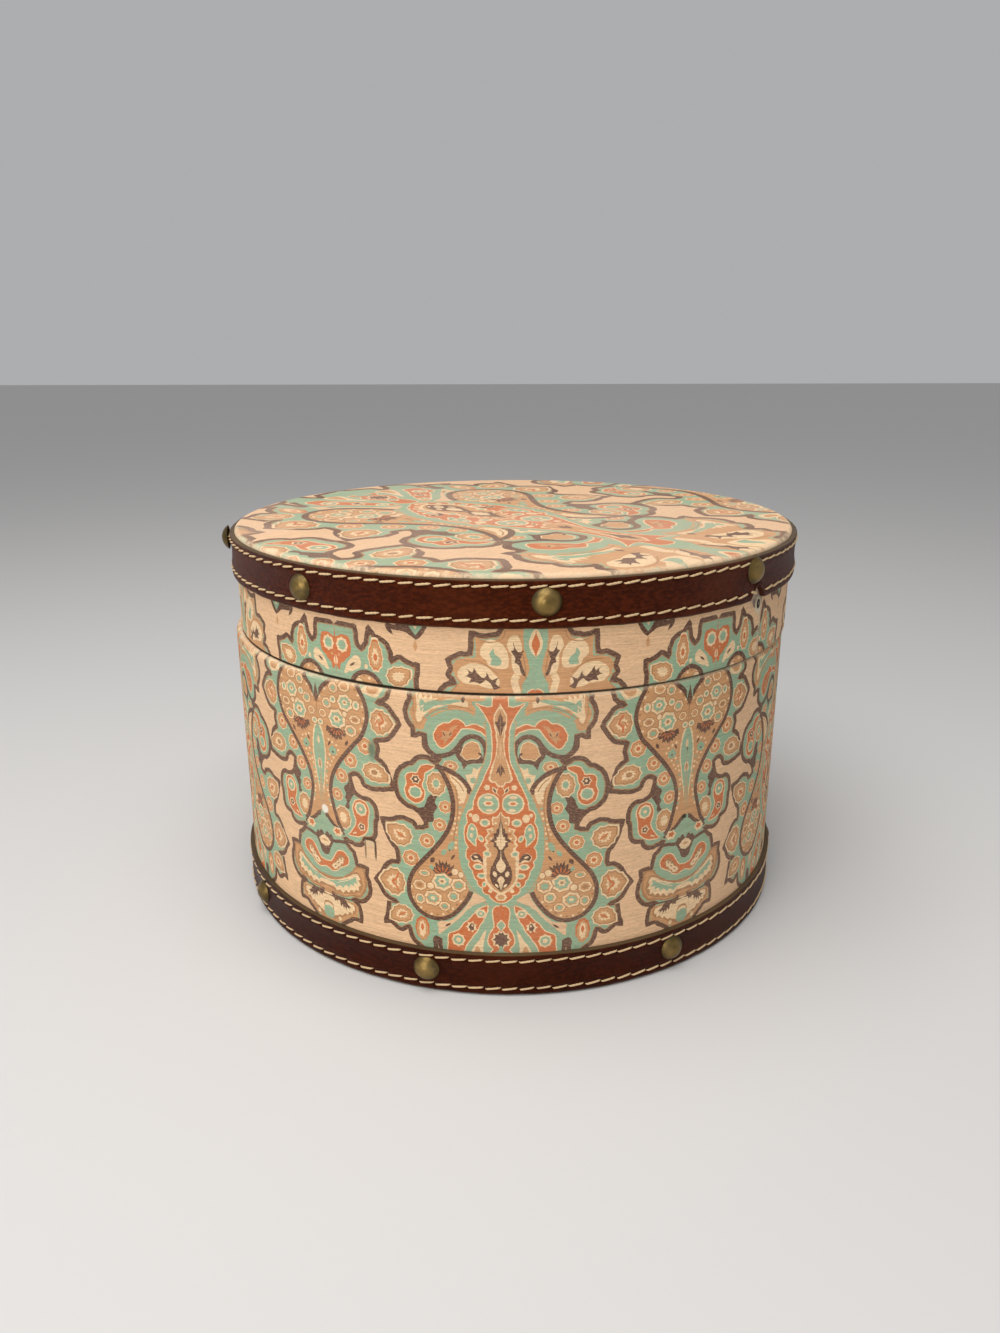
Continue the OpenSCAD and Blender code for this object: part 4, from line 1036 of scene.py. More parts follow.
def stitchRow(name, way, z, node, stitch):
    spots, faces = stitch
    allSpots, allFaces = [], []
    turns = 2 * math.pi / way["count"]
    for i in range(way["count"]):
        turn = math.radians(way["firstStitch"]) + (i + 0.5) * turns + random.gauss(0, 0.0009)
        slant = math.radians(math.degrees(math.atan(stitchWay["slant"] / stitchWay["length"])) + random.gauss(0, 1.6))
        stretch = random.uniform(0.97, 1.05)
        lift = random.gauss(0, 0.05)
        p = spots * np.array((stretch, 1.0, 1.0))
        fromTear = math.degrees(turn) - way["join"] - tear["beyond"]
        if node == "lid_stitches_lower" and -3.4 < fromTear < 2.2:
            # the torn end hangs loose, and the next stitch is gone
            if fromTear > -1.0:
                continue
            slant, p = slant - 0.50, p * np.array((0.75, 1.35, 1.0)) + np.array((0.4, 0.3, 0.1))
        along = p[:, 0] * math.cos(slant) - p[:, 1] * math.sin(slant)
        up = p[:, 0] * math.sin(slant) + p[:, 1] * math.cos(slant) + z + random.gauss(0, 0.07)
        radius = way["faceR"] - 0.12 + lift + p[:, 2]
        theta = turn + along / way["faceR"]
        allFaces.extend(tuple(k + len(allSpots) * len(spots) for k in f) for f in faces)
        allSpots.append(np.stack((way["centreX"] + radius * np.sin(theta), -radius * np.cos(theta), up), 1) * mm)
    mesh = bpy.data.meshes.new(name)
    mesh.from_pydata(np.concatenate(allSpots).tolist(), [], allFaces)
    piece = bpy.data.objects.new(name, mesh)
    bpy.context.collection.objects.link(piece)
    selectOnly(piece)
    bpy.ops.object.mode_set(mode="EDIT")
    bpy.ops.mesh.select_all(action="SELECT")
    bpy.ops.mesh.normals_make_consistent(inside=False)
    bpy.ops.object.mode_set(mode="OBJECT")
    bpy.ops.object.shade_smooth()
    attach(piece, way["body"])
    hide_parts(node)
    return piece


strapPieces = [strapPiece("leather_strap_" + name, way) for name, way in straps.items()]
oneStitch = stitchMesh()
threadPieces = []
for name, way in straps.items():
    for z, node, which in zip(way["rows"], way["threads"], ("upper", "lower")):
        threadPieces.append(stitchRow("thread_" + name + "_" + which, way, z, node, oneStitch))
print("straps and stitches are on")


# ---------- tacks ----------

tackWay = dict(headR=5.3, headH=3.0, metal=0.7, pinR=0.7, ringR=2.0, baseBite=6.0, lidBite=3.7)
tackRows = dict(
    base=dict(turns=(-13, 33, 88, 131, 174, 217, 260, 302.5), rises=(0.4, 0.5, 0, 0.4, -0.3, 0.5, 0, 0.4), middle=9.35, faceR=127.0,
              centreX=0.0, pin=6.0, body="box", node="base_tacks", loose={}),
    lid=dict(turns=(7, 48.5, 94, 140, 186, 232, 279, 323), rises=(1.0, 3.4, 0.6, 0, 0.5, -0.4, 3.4, -0.2), middle=157.0, faceR=126.1,
             centreX=1.7, pin=3.7, body="lid", node="lid_tacks", loose={6: 1.8}))


def tackMesh(pin):
    # half a section of the domed head and its pin, spun round the pin
    headR, headH, metal = tackWay["headR"], tackWay["headH"], tackWay["metal"]
    ball = (headR ** 2 + headH ** 2) / (2 * headH)
    outer = []
    for i in range(13):
        r = headR * i / 12
        z = headH - ball + math.sqrt(ball ** 2 - r ** 2)
        z -= 0.10 * math.exp(-((r - tackWay["ringR"]) / 0.32) ** 2)
        outer.append((r, z))
    outer[-1] = (headR - 0.1, 0.12)
    outer += [(headR, 0.0), (headR - 0.25, -0.1), (headR - metal, 0.0)]
    innerR, rise = headR - metal, headH - metal
    innerBall = (innerR ** 2 + rise ** 2) / (2 * rise)
    for i in range(5, 0, -1):
        r = innerR * i / 6
        if r > tackWay["pinR"] + 0.2:
            outer.append((r, rise - innerBall + math.sqrt(innerBall ** 2 - r ** 2)))
    outer += [(tackWay["pinR"], rise - 0.1), (tackWay["pinR"], 1 - pin), (0, -pin)]
    mesh = bpy.data.meshes.new("tackSection")
    mesh.from_pydata([(r, 0, z) for r, z in outer], [(i, i + 1) for i in range(len(outer) - 1)], [])
    tack = bpy.data.objects.new("tackSection", mesh)
    bpy.context.collection.objects.link(tack)
    selectOnly(tack)
    bpy.ops.object.mode_set(mode="EDIT")
    bpy.ops.mesh.select_all(action="SELECT")
    bpy.ops.mesh.spin(steps=40, angle=2 * math.pi, center=(0, 0, 0), axis=(0, 0, 1))
    bpy.ops.mesh.select_all(action="SELECT")
    bpy.ops.mesh.remove_doubles(threshold=0.002)
    bpy.ops.mesh.normals_make_consistent(inside=False)
    bpy.ops.object.mode_set(mode="OBJECT")
    spots = np.array([tuple(v.co) for v in tack.data.vertices])
    faces = [tuple(p.vertices) for p in tack.data.polygons]
    bpy.data.objects.remove(tack)
    return spots, faces


def tackRow(name, way):
    spots, faces = tackMesh(way["pin"])
    allSpots, allFaces, heads = [], [], []
    for i, (turn, rise) in enumerate(zip(way["turns"], way["rises"])):
        loose = way["loose"].get(i, 0.0)
        angle = math.radians(turn)
        out = np.array((math.sin(angle), -math.cos(angle), 0.0))
        side = np.array((math.cos(angle), math.sin(angle), 0.0))
        up = np.array((0.0, 0.0, 1.0))
        place = np.array((way["centreX"], 0, way["middle"] + rise)) + out * (way["faceR"] + 0.02 + loose)
        bent = 1 + 0.02 * np.cos(2 * np.arctan2(spots[:, 1], spots[:, 0]) + i * 1.7)
        turned = place + (spots[:, :1] * bent[:, None]) * side + (spots[:, 1:2] * bent[:, None]) * up + spots[:, 2:] * out
        allFaces.extend(tuple(k + len(allSpots) * len(spots) for k in f) for f in faces)
        allSpots.append(turned * mm)
        heads.extend([i] * len(faces))
    mesh = bpy.data.meshes.new(name)
    mesh.from_pydata(np.concatenate(allSpots).tolist(), [], allFaces)
    flat = mesh.uv_layers.new(name="head")
    shape = np.array([spots[k][:2] for f in faces for k in f]) / 10.0
    flat.data.foreach_set("uv", np.concatenate([shape + i for i in range(len(way["turns"]))]).ravel())
    piece = bpy.data.objects.new(name, mesh)
    bpy.context.collection.objects.link(piece)
    selectOnly(piece)
    bpy.ops.object.shade_smooth_by_angle(angle=math.radians(40))
    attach(piece, way["body"])
    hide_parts(way["node"])
    return piece


tackPieces = [tackRow("domed_tacks_" + name, way) for name, way in tackRows.items()]
print("tacks are in")


# ---------- materials ----------

class Wires:
    # adds nodes to one tree and joins them
    def __init__(self, tree):
        self.tree = tree

    def add(self, kind, values=None, **settings):
        made = self.tree.nodes.new(kind)
        for key, value in settings.items():
            setattr(made, key, value)
        for key, value in (values or {}).items():
            if isinstance(value, bpy.types.NodeSocket):
                self.tree.links.new(value, made.inputs[key])
            else:
                made.inputs[key].default_value = value
        return made

    def math(self, operation, a, b=0.0, clamp=False):
        made = self.add("ShaderNodeMath", {0: a, 1: b}, operation=operation)
        made.use_clamp = clamp
        return made.outputs[0]

    def mix(self, share, a, b, blend="MIX"):
        made = self.add("ShaderNodeMix", data_type="RGBA", blend_type=blend)
        for socket, value in ((made.inputs[0], share), (made.inputs[6], a), (made.inputs[7], b)):
            if isinstance(value, bpy.types.NodeSocket):
                self.tree.links.new(value, socket)
            else:
                socket.default_value = value if isinstance(value, float) else (*value[:3], 1)
        return made.outputs[2]

    def ramp(self, value, low, high, fromLow=0.0, fromHigh=1.0):
        made = self.add("ShaderNodeMapRange", {0: value, 1: fromLow, 2: fromHigh, 3: low, 4: high})
        made.clamp = True
        return made.outputs[0]

    def noise(self, place, scale, detail=2.0, rough=0.5):
        return self.add("ShaderNodeTexNoise", {"Vector": place, "Scale": scale, "Detail": detail, "Roughness": rough}).outputs["Fac"]

    def scaled(self, place, scale):
        return self.add("ShaderNodeMapping", {"Vector": place, "Scale": scale}).outputs[0]

    def bump(self, height, strength, distance, over=None):
        values = {"Height": height, "Strength": strength, "Distance": distance}
        if over is not None:
            values["Normal"] = over
        return self.add("ShaderNodeBump", values).outputs[0]


def effectGroup(name, inputs, outputs):
    group = bpy.data.node_groups.new(name, "ShaderNodeTree")
    for label, kind, value in inputs:
        socket = group.interface.new_socket(label, in_out="INPUT", socket_type=kind)
        if value is not None:
            socket.default_value = value
    for label, kind in outputs:
        group.interface.new_socket(label, in_out="OUTPUT", socket_type=kind)
    wires = Wires(group)
    return group, wires, wires.add("NodeGroupInput"), wires.add("NodeGroupOutput")


def weaveGroup():
    # crossed threads with slubs, from a place measured in decimetres of cloth
    group, w, given, out = effectGroup(
        "threadWeave", [("Place", "NodeSocketVector", None), ("Threads", "NodeSocketFloat", 200.0), ("Slub", "NodeSocketFloat", 1.0)],
        [("Height", "NodeSocketFloat"), ("Slubs", "NodeSocketFloat"), ("Fleck", "NodeSocketFloat"), ("Ribs", "NodeSocketFloat")])
    place, threads = given.outputs["Place"], given.outputs["Threads"]
    parts = w.add("ShaderNodeSeparateXYZ", {0: place})
    wander = w.noise(place, 30.0, 2.0)
    turns = w.math("MULTIPLY", threads, 6.2832)
    warp = w.math("SINE", w.math("ADD", w.math("MULTIPLY", parts.outputs[0], turns), w.math("MULTIPLY", wander, 9.0)))
    weft = w.math("SINE", w.math("ADD", w.math("MULTIPLY", parts.outputs[1], turns), w.math("MULTIPLY", wander, 7.0)))
    woven = w.math("MULTIPLY", w.math("ADD", w.math("ABSOLUTE", warp), w.math("ABSOLUTE", weft)), 0.5)
    longSlub = w.noise(w.scaled(place, (7.0, 150.0, 1.0)), 1.0, 3.0, 0.6)
    fineSlub = w.noise(w.scaled(place, (40.0, 330.0, 1.0)), 1.0, 2.0, 0.5)
    slubs = w.math("ADD", w.math("MULTIPLY", longSlub, 0.6), w.math("MULTIPLY", fineSlub, 0.4))
    fleck = w.ramp(w.noise(w.scaled(place, (90.0, 260.0, 1.0)), 1.0, 2.0, 0.6), 0.0, 1.0, 0.56, 0.72)
    height = w.math("ADD", woven, w.math("MULTIPLY", w.math("MULTIPLY", slubs, given.outputs["Slub"]), 1.4))
    for label, value in (("Height", height), ("Slubs", slubs), ("Fleck", fleck), ("Ribs", woven)):
        group.links.new(value, out.inputs[label])
    return group


def wearGroup():
    # soft patches of dirt and rubbing, from a place in metres
    group, w, given, out = effectGroup(
        "handWear", [("Place", "NodeSocketVector", None), ("Scale", "NodeSocketFloat", 20.0)],
        [("Patches", "NodeSocketFloat"), ("Specks", "NodeSocketFloat")])
    place = given.outputs["Place"]
    patches = w.noise(place, given.outputs["Scale"], 4.0, 0.6)
    specks = w.ramp(w.noise(place, w.math("MULTIPLY", given.outputs["Scale"], 14.0), 2.0, 0.5), 0.0, 1.0, 0.62, 0.75)
    group.links.new(patches, out.inputs["Patches"])
    group.links.new(specks, out.inputs["Specks"])
    return group


def hideGroup():
    # pebbled leather grain with fine creases, from a place in metres
    group, w, given, out = effectGroup(
        "hideGrain", [("Place", "NodeSocketVector", None), ("Size", "NodeSocketFloat", 1300.0)],
        [("Height", "NodeSocketFloat"), ("Creases", "NodeSocketFloat")])
    place = given.outputs["Place"]
    shaken = w.add("ShaderNodeVectorMath", {0: place, 1: w.add(
        "ShaderNodeTexNoise", {"Vector": place, "Scale": 900.0}).outputs["Color"]}, operation="MULTIPLY_ADD")
    shaken.inputs[1].default_value = (1, 1, 1)
    cells = w.add("ShaderNodeTexVoronoi", {"Vector": place, "Scale": given.outputs["Size"]}, feature="DISTANCE_TO_EDGE").outputs[0]
    pebbles = w.ramp(cells, 0.0, 1.0, 0.0, 0.22)
    folds = w.noise(w.scaled(place, (1.0, 1.0, 2.2)), 420.0, 4.0, 0.65)
    height = w.math("ADD", w.math("MULTIPLY", pebbles, 0.6), w.math("MULTIPLY", folds, 0.8))
    group.links.new(height, out.inputs["Height"])
    group.links.new(w.ramp(folds, 0.0, 1.0, 0.42, 0.62), out.inputs["Creases"])
    return group


def edgeGroup():
    # a band along a turned edge, from a place in metres and how far along it lies: rubbed bare wear that is also a
    # painted highlight on a rounded edge, and painted shade where its colour is dark
    group, w, given, out = effectGroup(
        "edgeWearAndPaintedLight", [("Place", "NodeSocketVector", None), ("Along", "NodeSocketFloat", 0.0), ("Start", "NodeSocketFloat", 0.0),
                     ("Full", "NodeSocketFloat", 1.0)], [("EdgeBand", "NodeSocketFloat")])
    close = w.ramp(given.outputs["Along"], 0.0, 1.0, given.outputs["Start"], given.outputs["Full"])
    grit = w.ramp(w.noise(given.outputs["Place"], 520.0, 3.0, 0.7), 0.0, 1.0, 0.42, 0.58)
    rubbed = w.math("MULTIPLY", close, w.math("ADD", w.math("MULTIPLY", grit, 0.6), 0.34))
    group.links.new(rubbed, out.inputs["EdgeBand"])
    return group


def lidAxisGroup():
    # how far a place lies from the lid's axis, and how high
    group, w, given, out = effectGroup(
        "lidAxis", [("Place", "NodeSocketVector", None)], [("Reach", "NodeSocketFloat"), ("Height", "NodeSocketFloat")])
    moved = w.add("ShaderNodeVectorMath", {0: given.outputs["Place"], 1: (0.0017, 0, 0)}, operation="SUBTRACT").outputs[0]
    parts = w.add("ShaderNodeSeparateXYZ", {0: moved}).outputs
    reach = w.math("SQRT", w.math("ADD", w.math("MULTIPLY", parts[0], parts[0]), w.math("MULTIPLY", parts[1], parts[1])))
    group.links.new(reach, out.inputs["Reach"])
    group.links.new(parts[2], out.inputs["Height"])
    return group


def spotGroup():
    # one inside an oval on the flat cloth, its edge a little ragged
    group, w, given, out = effectGroup(
        "raggedSpot", [("Place", "NodeSocketVector", None), ("Middle", "NodeSocketVector", None), ("Size", "NodeSocketVector", None),
                       ("Soft", "NodeSocketFloat", 0.2)], [("Mask", "NodeSocketFloat")])
    place = given.outputs["Place"]
    moved = w.add("ShaderNodeVectorMath", {0: place, 1: given.outputs["Middle"]}, operation="SUBTRACT").outputs[0]
    scaled = w.add("ShaderNodeVectorMath", {0: moved, 1: given.outputs["Size"]}, operation="DIVIDE").outputs[0]
    far = w.add("ShaderNodeVectorMath", {0: scaled}, operation="LENGTH").outputs["Value"]
    ragged = w.math("ADD", far, w.math("MULTIPLY", w.noise(place, 260.0, 2.0), 0.7))
    soft = given.outputs["Soft"]
    group.links.new(w.ramp(ragged, 1.0, 0.0, w.math("SUBTRACT", 1.35, soft), w.math("ADD", 1.35, soft)), out.inputs["Mask"])
    return group


effects = dict(weave=weaveGroup(), wear=wearGroup(), hide=hideGroup(), edge=edgeGroup(), axis=lidAxisGroup(), spot=spotGroup())


def newMaterial(name):
    paint = bpy.data.materials.new(name)
    paint.use_nodes = True
    wires = Wires(paint.node_tree)
    return paint, wires, paint.node_tree.nodes["Principled BSDF"]


def useEffect(wires, name, values):
    made = wires.add("ShaderNodeGroup")
    made.node_tree = effects[name]
    for key, value in values.items():
        if isinstance(value, bpy.types.NodeSocket):
            wires.tree.links.new(value, made.inputs[key])
        else:
            made.inputs[key].default_value = value
    return made.outputs


def wire(wires, value, shader, socket):
    wires.tree.links.new(value, shader.inputs[socket])


def spotMask(w, laid, middle, size, soft):
    return useEffect(w, "spot", {"Place": laid, "Middle": middle, "Size": size, "Soft": soft})["Mask"]


def tornCloth(w, laid, tone):
    # the hole under the lid's right-hand tack, painted near-black as painted shade inside it, a darker patch round its
    # top, its frayed edge, and the seam below it
    flat = w.add("ShaderNodeSeparateXYZ", {0: laid}).outputs
    seamU, holeV = 1.043, 1.454
    straight = w.math("ADD", w.math("SUBTRACT", flat[0], seamU), w.math("MULTIPLY", w.math("SUBTRACT", holeV, flat[1]), 0.03))
    seam = w.math("MULTIPLY", w.ramp(w.math("ABSOLUTE", straight), 0.7, 0.0, 0.003, 0.010), w.ramp(flat[1], 1.0, 0.0, 1.44, 1.46))
    tone = w.mix(seam, tone, (0.60, 0.48, 0.34))
    tone = w.mix(w.math("MULTIPLY", spotMask(w, laid, (seamU - 0.02, holeV + 0.030, 0), (0.060, 0.034, 1), 0.5), 0.85), tone, (0.26, 0.21, 0.17))
    tone = w.mix(spotMask(w, laid, (seamU - 0.021, holeV - 0.006, 0), (0.025, 0.034, 1), 0.2), tone, (0.64, 0.54, 0.38))
    # painted shade: the hole is a near-black oval in the colour, standing in for the dark inside it
    tone = w.mix(spotMask(w, laid, (seamU - 0.020, holeV, 0), (0.0145, 0.020, 1), 0.12), tone, (0.020, 0.015, 0.011))
    return w.mix(spotMask(w, laid, (seamU - 0.016, holeV + 0.001, 0), (0.005, 0.008, 1), 0.12), tone, (0.22, 0.18, 0.13))


def markedCloth(w, laid, tone):
    # the seam at the back, and small stains and scrapes left of the middle
    across = w.math("ABSOLUTE", w.add("ShaderNodeSeparateXYZ", {0: laid}).outputs[0])
    tone = w.mix(w.ramp(across, 0.0, 0.8, 3.916, 3.922), tone, (0.20, 0.13, 0.08))
    for middle, size, soft, tint in bodyMarks:
        tone = w.mix(spotMask(w, laid, (*middle, 0), (*size, 1), soft), tone, tint)
    return tone


def printedClothMaterial(name, threads, fade, edge, marks=()):
    paint, w, shader = newMaterial(name)
    dyed = w.add("ShaderNodeAttribute", attribute_name="printColour").outputs["Color"]
    laid = w.add("ShaderNodeUVMap", uv_map="cloth").outputs[0]
    solid = w.add("ShaderNodeTexCoord").outputs["Object"]
    weave = useEffect(w, "weave", {"Place": laid, "Threads": threads, "Slub": 1.0})
    wear = useEffect(w, "wear", {"Place": solid, "Scale": 14.0})
    bare = w.mix(w.ramp(w.noise(w.scaled(laid, (6.0, 60.0, 1.0)), 1.0, 3.0), 0.0, 1.0, 0.35, 0.65), (0.80, 0.53, 0.34), (0.70, 0.52, 0.29))
    threadTone = w.ramp(w.noise(w.scaled(laid, (55.0, 210.0, 1.0)), 1.0, 2.0, 0.6), 0.0, 0.36, 0.50, 0.66)
    worn = w.mix(threadTone, w.mix(w.math("MULTIPLY", weave["Fleck"], 0.40), dyed, bare), (0.47, 0.26, 0.13))
    shade = w.math("MULTIPLY", w.ramp(weave["Slubs"], 0.70, 1.22, 0.3, 0.7), w.ramp(weave["Ribs"], 0.90, 1.06))
    toned = w.mix(1.0, worn, w.add("ShaderNodeCombineColor", {0: shade, 1: shade, 2: shade}).outputs[0], "MULTIPLY")
    patch = w.ramp(wear["Patches"], 0.0, 1.0, 0.35, 0.7)
    faded = w.mix(w.math("ADD", w.math("MULTIPLY", patch, fade), fade * 0.4), toned, (0.74, 0.54, 0.41))
    # the print is rubbed away along the edge, and the pale band there is also a painted highlight on the rounded rim
    # and top edge (on the hem the band is dark, painted shade); painted shade darkens the gaps where two pieces meet
    axis = useEffect(w, "axis", {"Place": solid})
    along = axis["Reach" if edge["round"] else "Height"]
    rubbed = useEffect(w, "edge", {"Place": solid, "Along": along, "Start": edge["start"], "Full": edge["full"]})["EdgeBand"]
    # painted shade: a near-black line in the gap between the lid's hem and the body's rim, and on the top cloth along
    # the lid strap's upper edge; on the rim it is kept narrow and follows the lid's offset
    low, high = edge["paintedShade"]
    if edge["ring"]:
        sideways = w.math("MULTIPLY", w.add("ShaderNodeSeparateXYZ", {0: solid}).outputs[0], 0.0064)
        paintedShade = w.math("MULTIPLY", w.ramp(w.math("SUBTRACT", axis["Reach"], sideways), 1.0, 0.0, low, high), w.ramp(axis["Height"], 0.0, 0.96, 0.12300, 0.12325))
        paintedShade = w.math("MULTIPLY", paintedShade, w.ramp(axis["Reach"], 0.25, 1.0, 0.1222, 0.1231))
    else:
        paintedShade = w.ramp(axis["Height"], 0.9, 0.0, low, high)
    # the edge band's colour first, then the near-black painted shade over the gaps
    tone = w.mix(paintedShade, w.mix(rubbed, faded, edge["bare"]), (0.035, 0.020, 0.012))
    for mark in marks:
        tone = mark(w, laid, tone)
    wire(w, tone, shader, "Base Color")
    wire(w, w.ramp(weave["Slubs"], 0.74, 0.92), shader, "Roughness")
    shader.inputs["Specular IOR Level"].default_value = 0.16
    shader.inputs["Specular Tint"].default_value = (1.0, 0.80, 0.58, 1)
    shader.inputs["Sheen Weight"].default_value = 0.04
    shader.inputs["Sheen Roughness"].default_value = 0.4
    gathers = w.math("MULTIPLY", w.noise(w.scaled(laid, (15.0, 1.5, 1.0)), 1.0, 2.0), w.ramp(along, 0.0, 1.0, edge["wide"], edge["full"]))
    drawn = w.bump(gathers, edge["gathers"], 0.0022)
    wire(w, w.bump(weave["Height"], 0.45, 0.00024, drawn), shader, "Normal")
    return paint


def leatherMaterial(name, edgeLow, edgeHigh, deep, pale, worn):
    paint, w, shader = newMaterial(name)
    solid = w.add("ShaderNodeTexCoord").outputs["Object"]
    hide = useEffect(w, "hide", {"Place": solid, "Size": 1700.0})
    wear = useEffect(w, "wear", {"Place": solid, "Scale": 26.0})
    base = w.mix(hide["Creases"], deep, pale)
    rubbed = w.mix(w.ramp(wear["Patches"], 0.0, 0.5, 0.48, 0.78), base, worn)
    up = w.add("ShaderNodeSeparateXYZ", {0: solid}).outputs[2]
    topEdge = w.ramp(up, 0.0, 1.0, edgeHigh - 0.00045, edgeHigh - 0.0001)
    lowEdge = w.ramp(up, 1.0, 0.0, edgeLow + 0.0001, edgeLow + 0.0006)
    raw = w.mix(wear["Patches"], (0.045, 0.027, 0.013), (0.145, 0.096, 0.048))
    edgedColour = w.mix(w.math("MAXIMUM", topEdge, lowEdge), rubbed, raw)
    wire(w, edgedColour, shader, "Base Color")
    wire(w, w.ramp(wear["Patches"], 0.40, 0.58, 0.3, 0.7), shader, "Roughness")
    shader.inputs["Specular IOR Level"].default_value = 0.13
    shader.inputs["Specular Tint"].default_value = (1.0, 0.45, 0.22, 1)
    shader.inputs["Sheen Weight"].default_value = 0.07
    shader.inputs["Sheen Roughness"].default_value = 0.35
    wire(w, w.bump(hide["Height"], 0.7, 0.00026), shader, "Normal")
    return paint


def threadMaterial():
    paint, w, shader = newMaterial("creamThread")
    solid = w.add("ShaderNodeTexCoord").outputs["Object"]
    wear = useEffect(w, "wear", {"Place": solid, "Scale": 60.0})
    fibre = w.noise(w.scaled(solid, (1.0, 1.0, 1.0)), 3500.0, 2.0)
    tone = w.mix(fibre, (0.38, 0.24, 0.11), (0.82, 0.60, 0.34))
    wire(w, w.mix(w.ramp(wear["Patches"], 0.0, 0.45, 0.5, 0.75), tone, (0.34, 0.22, 0.13)), shader, "Base Color")
    shader.inputs["Roughness"].default_value = 0.75
    wire(w, w.bump(fibre, 0.4, 0.00012), shader, "Normal")
    return paint


def brassMaterial():
    paint, w, shader = newMaterial("agedBrass")
    solid = w.add("ShaderNodeTexCoord").outputs["Object"]
    head = w.add("ShaderNodeUVMap", uv_map="head").outputs[0]
    wear = useEffect(w, "wear", {"Place": solid, "Scale": 260.0})
    broad = w.noise(solid, 120.0, 3.0)
    metal = w.mix(w.ramp(broad, 0.0, 1.0, 0.35, 0.65), (0.175, 0.114, 0.034), (0.290, 0.192, 0.066))
    patina = w.mix(w.ramp(wear["Patches"], 0.0, 0.8, 0.48, 0.70), metal, (0.060, 0.048, 0.020))
    inHead = w.add("ShaderNodeVectorMath", {0: head, 1: (0.5, 0.5, 0.0)}, operation="ADD").outputs[0]
    inHead = w.add("ShaderNodeVectorMath", {0: inHead}, operation="FRACTION").outputs[0]
    inHead = w.add("ShaderNodeVectorMath", {0: inHead, 1: (0.5, 0.5, 0.0)}, operation="SUBTRACT").outputs[0]
    fromMiddle = w.add("ShaderNodeVectorMath", {0: inHead}, operation="LENGTH").outputs["Value"]
    # painted shade: the outer part of each domed head is darkened, standing in for the darker reflection at a dome's
    # edge
    wire(w, w.mix(w.ramp(fromMiddle, 0.0, 0.6, 0.34, 0.52), patina, (0.040, 0.029, 0.010)), shader, "Base Color")
    wire(w, w.ramp(wear["Patches"], 0.95, 0.5, 0.45, 0.75), shader, "Metallic")
    wire(w, w.ramp(wear["Patches"], 0.30, 0.58, 0.3, 0.75), shader, "Roughness")
    wire(w, w.bump(w.math("ADD", broad, wear["Patches"]), 0.15, 0.0002), shader, "Normal")
    return paint


def boardMaterial(name, pale, dark, ringScale):
    paint, w, shader = newMaterial(name)
    solid = w.add("ShaderNodeTexCoord").outputs["Object"]
    grain = w.noise(w.scaled(solid, (ringScale, 1.0, 6.0)), 90.0, 5.0, 0.6)
    wire(w, w.mix(grain, pale, dark), shader, "Base Color")
    wire(w, w.ramp(grain, 0.55, 0.8), shader, "Roughness")
    wire(w, w.bump(grain, 0.3, 0.0003), shader, "Normal")
    return paint


def liningMaterial(name, tint, deep):
    paint, w, shader = newMaterial(name)
    solid = w.add("ShaderNodeTexCoord").outputs["Object"]
    wear = useEffect(w, "wear", {"Place": solid, "Scale": 18.0})
    fibre = w.noise(solid, 1400.0, 3.0, 0.7)
    tone = w.mix(w.ramp(wear["Patches"], 0.0, 0.7, 0.35, 0.7), tint, deep)
    wire(w, w.mix(w.math("MULTIPLY", wear["Specks"], 0.35), tone, deep), shader, "Base Color")
    wire(w, w.ramp(fibre, 0.75, 0.95), shader, "Roughness")
    wire(w, w.bump(fibre, 0.35, 0.00015), shader, "Normal")
    return paint


def dress(piece, paint):
    piece.data.materials.clear()
    piece.data.materials.append(paint)


# where each edge's band starts and is full, and its colour: on the rim and the top's rounded edge it is pale, rubbed
# wear with a painted highlight; on the hem it is dark, painted shade that joins the gap's painted shadow. The last pair
# bounds the near-black painted shade in the gap and along the strap's upper edge.
clothEdges = dict(
    rim=dict(round=False, ring=True, wide=0.1150, start=0.1220, full=0.1232, bare=(0.80, 0.62, 0.42), gathers=0.55, paintedShade=(0.1244, 0.1251)),
    hem=dict(round=False, ring=False, wide=0.1262, start=0.1243, full=0.1239, bare=(0.10, 0.06, 0.035), gathers=0.0, paintedShade=(0.1240, 0.1242)),
    top=dict(round=True, ring=False, wide=0.1180, start=0.1220, full=0.1240, bare=(0.74, 0.57, 0.38), gathers=0.0, paintedShade=(0.1651, 0.1660)))
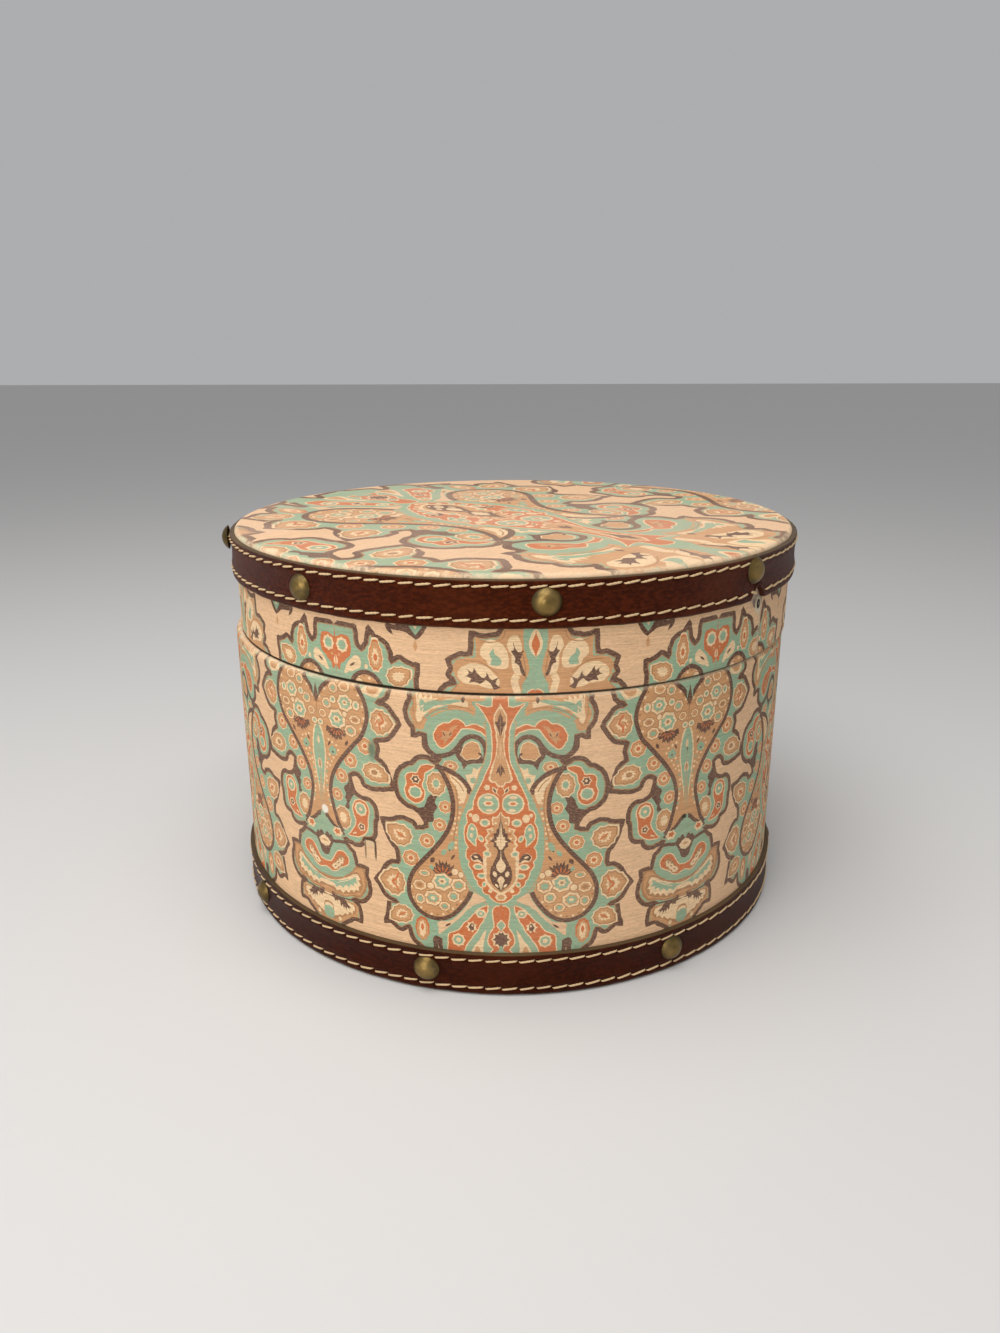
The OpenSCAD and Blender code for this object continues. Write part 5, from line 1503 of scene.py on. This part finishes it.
# middle and size in decimetres of cloth, softness, colour
bodyMarks = (((-0.497, 0.985), (0.015, 0.034), 0.45, (0.16, 0.20, 0.13)), ((-0.742, 0.684), (0.017, 0.018), 0.15, (0.80, 0.74, 0.62)),
             ((-0.526, 0.599), (0.030, 0.014), 0.1, (0.09, 0.05, 0.03)), ((-0.526, 0.589), (0.025, 0.013), 0.15, (0.66, 0.47, 0.29)),
             ((-0.500, 0.566), (0.005, 0.042), 0.2, (0.12, 0.08, 0.05)), ((-0.546, 0.560), (0.004, 0.042), 0.2, (0.26, 0.18, 0.11)),
             ((0.745, 0.665), (0.012, 0.010), 0.25, (0.06, 0.04, 0.03)))
dress(bodyCloth, printedClothMaterial("printedCloth", 110.0, 0.10, clothEdges["rim"], (markedCloth,)))
dress(lidSideCloth, printedClothMaterial("printedClothLid", 110.0, 0.10, clothEdges["hem"], (tornCloth,)))
dress(lidTopCloth, printedClothMaterial("printedClothTop", 110.0, 0.28, clothEdges["top"]))
dress(strapPieces[0], leatherMaterial("strapLeatherBase", 0.0005, 0.0182, (0.020, 0.0024, 0.0007), (0.046, 0.0062, 0.0018), (0.078, 0.014, 0.004)))
dress(strapPieces[1], leatherMaterial("strapLeatherLid", 0.1483, 0.1657, (0.032, 0.0042, 0.0012), (0.072, 0.0115, 0.0030), (0.115, 0.026, 0.008)))
thread = threadMaterial()
for piece in threadPieces:
    dress(piece, thread)
brass = brassMaterial()
for piece in tackPieces:
    dress(piece, brass)
ashWood = boardMaterial("bentWood", (0.50, 0.33, 0.18), (0.36, 0.22, 0.11), 1.0)
greyBoard = boardMaterial("pressedBoard", (0.34, 0.27, 0.20), (0.26, 0.20, 0.145), 3.0)
lining = liningMaterial("paperLining", (0.70, 0.62, 0.50), (0.56, 0.46, 0.34))
footPaper = liningMaterial("footPaper", (0.060, 0.052, 0.046), (0.100, 0.088, 0.075))
for node, paint in (("body_hoop", ashWood), ("collar", greyBoard), ("lid_hoop", ashWood), ("base_board", greyBoard), ("lid_board", greyBoard),
                    ("collar_lining", lining), ("floor_lining", lining), ("lid_side_lining", lining), ("lid_top_lining", lining),
                    ("under_paper", footPaper)):
    dress(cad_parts[node], paint)
print("materials are set")
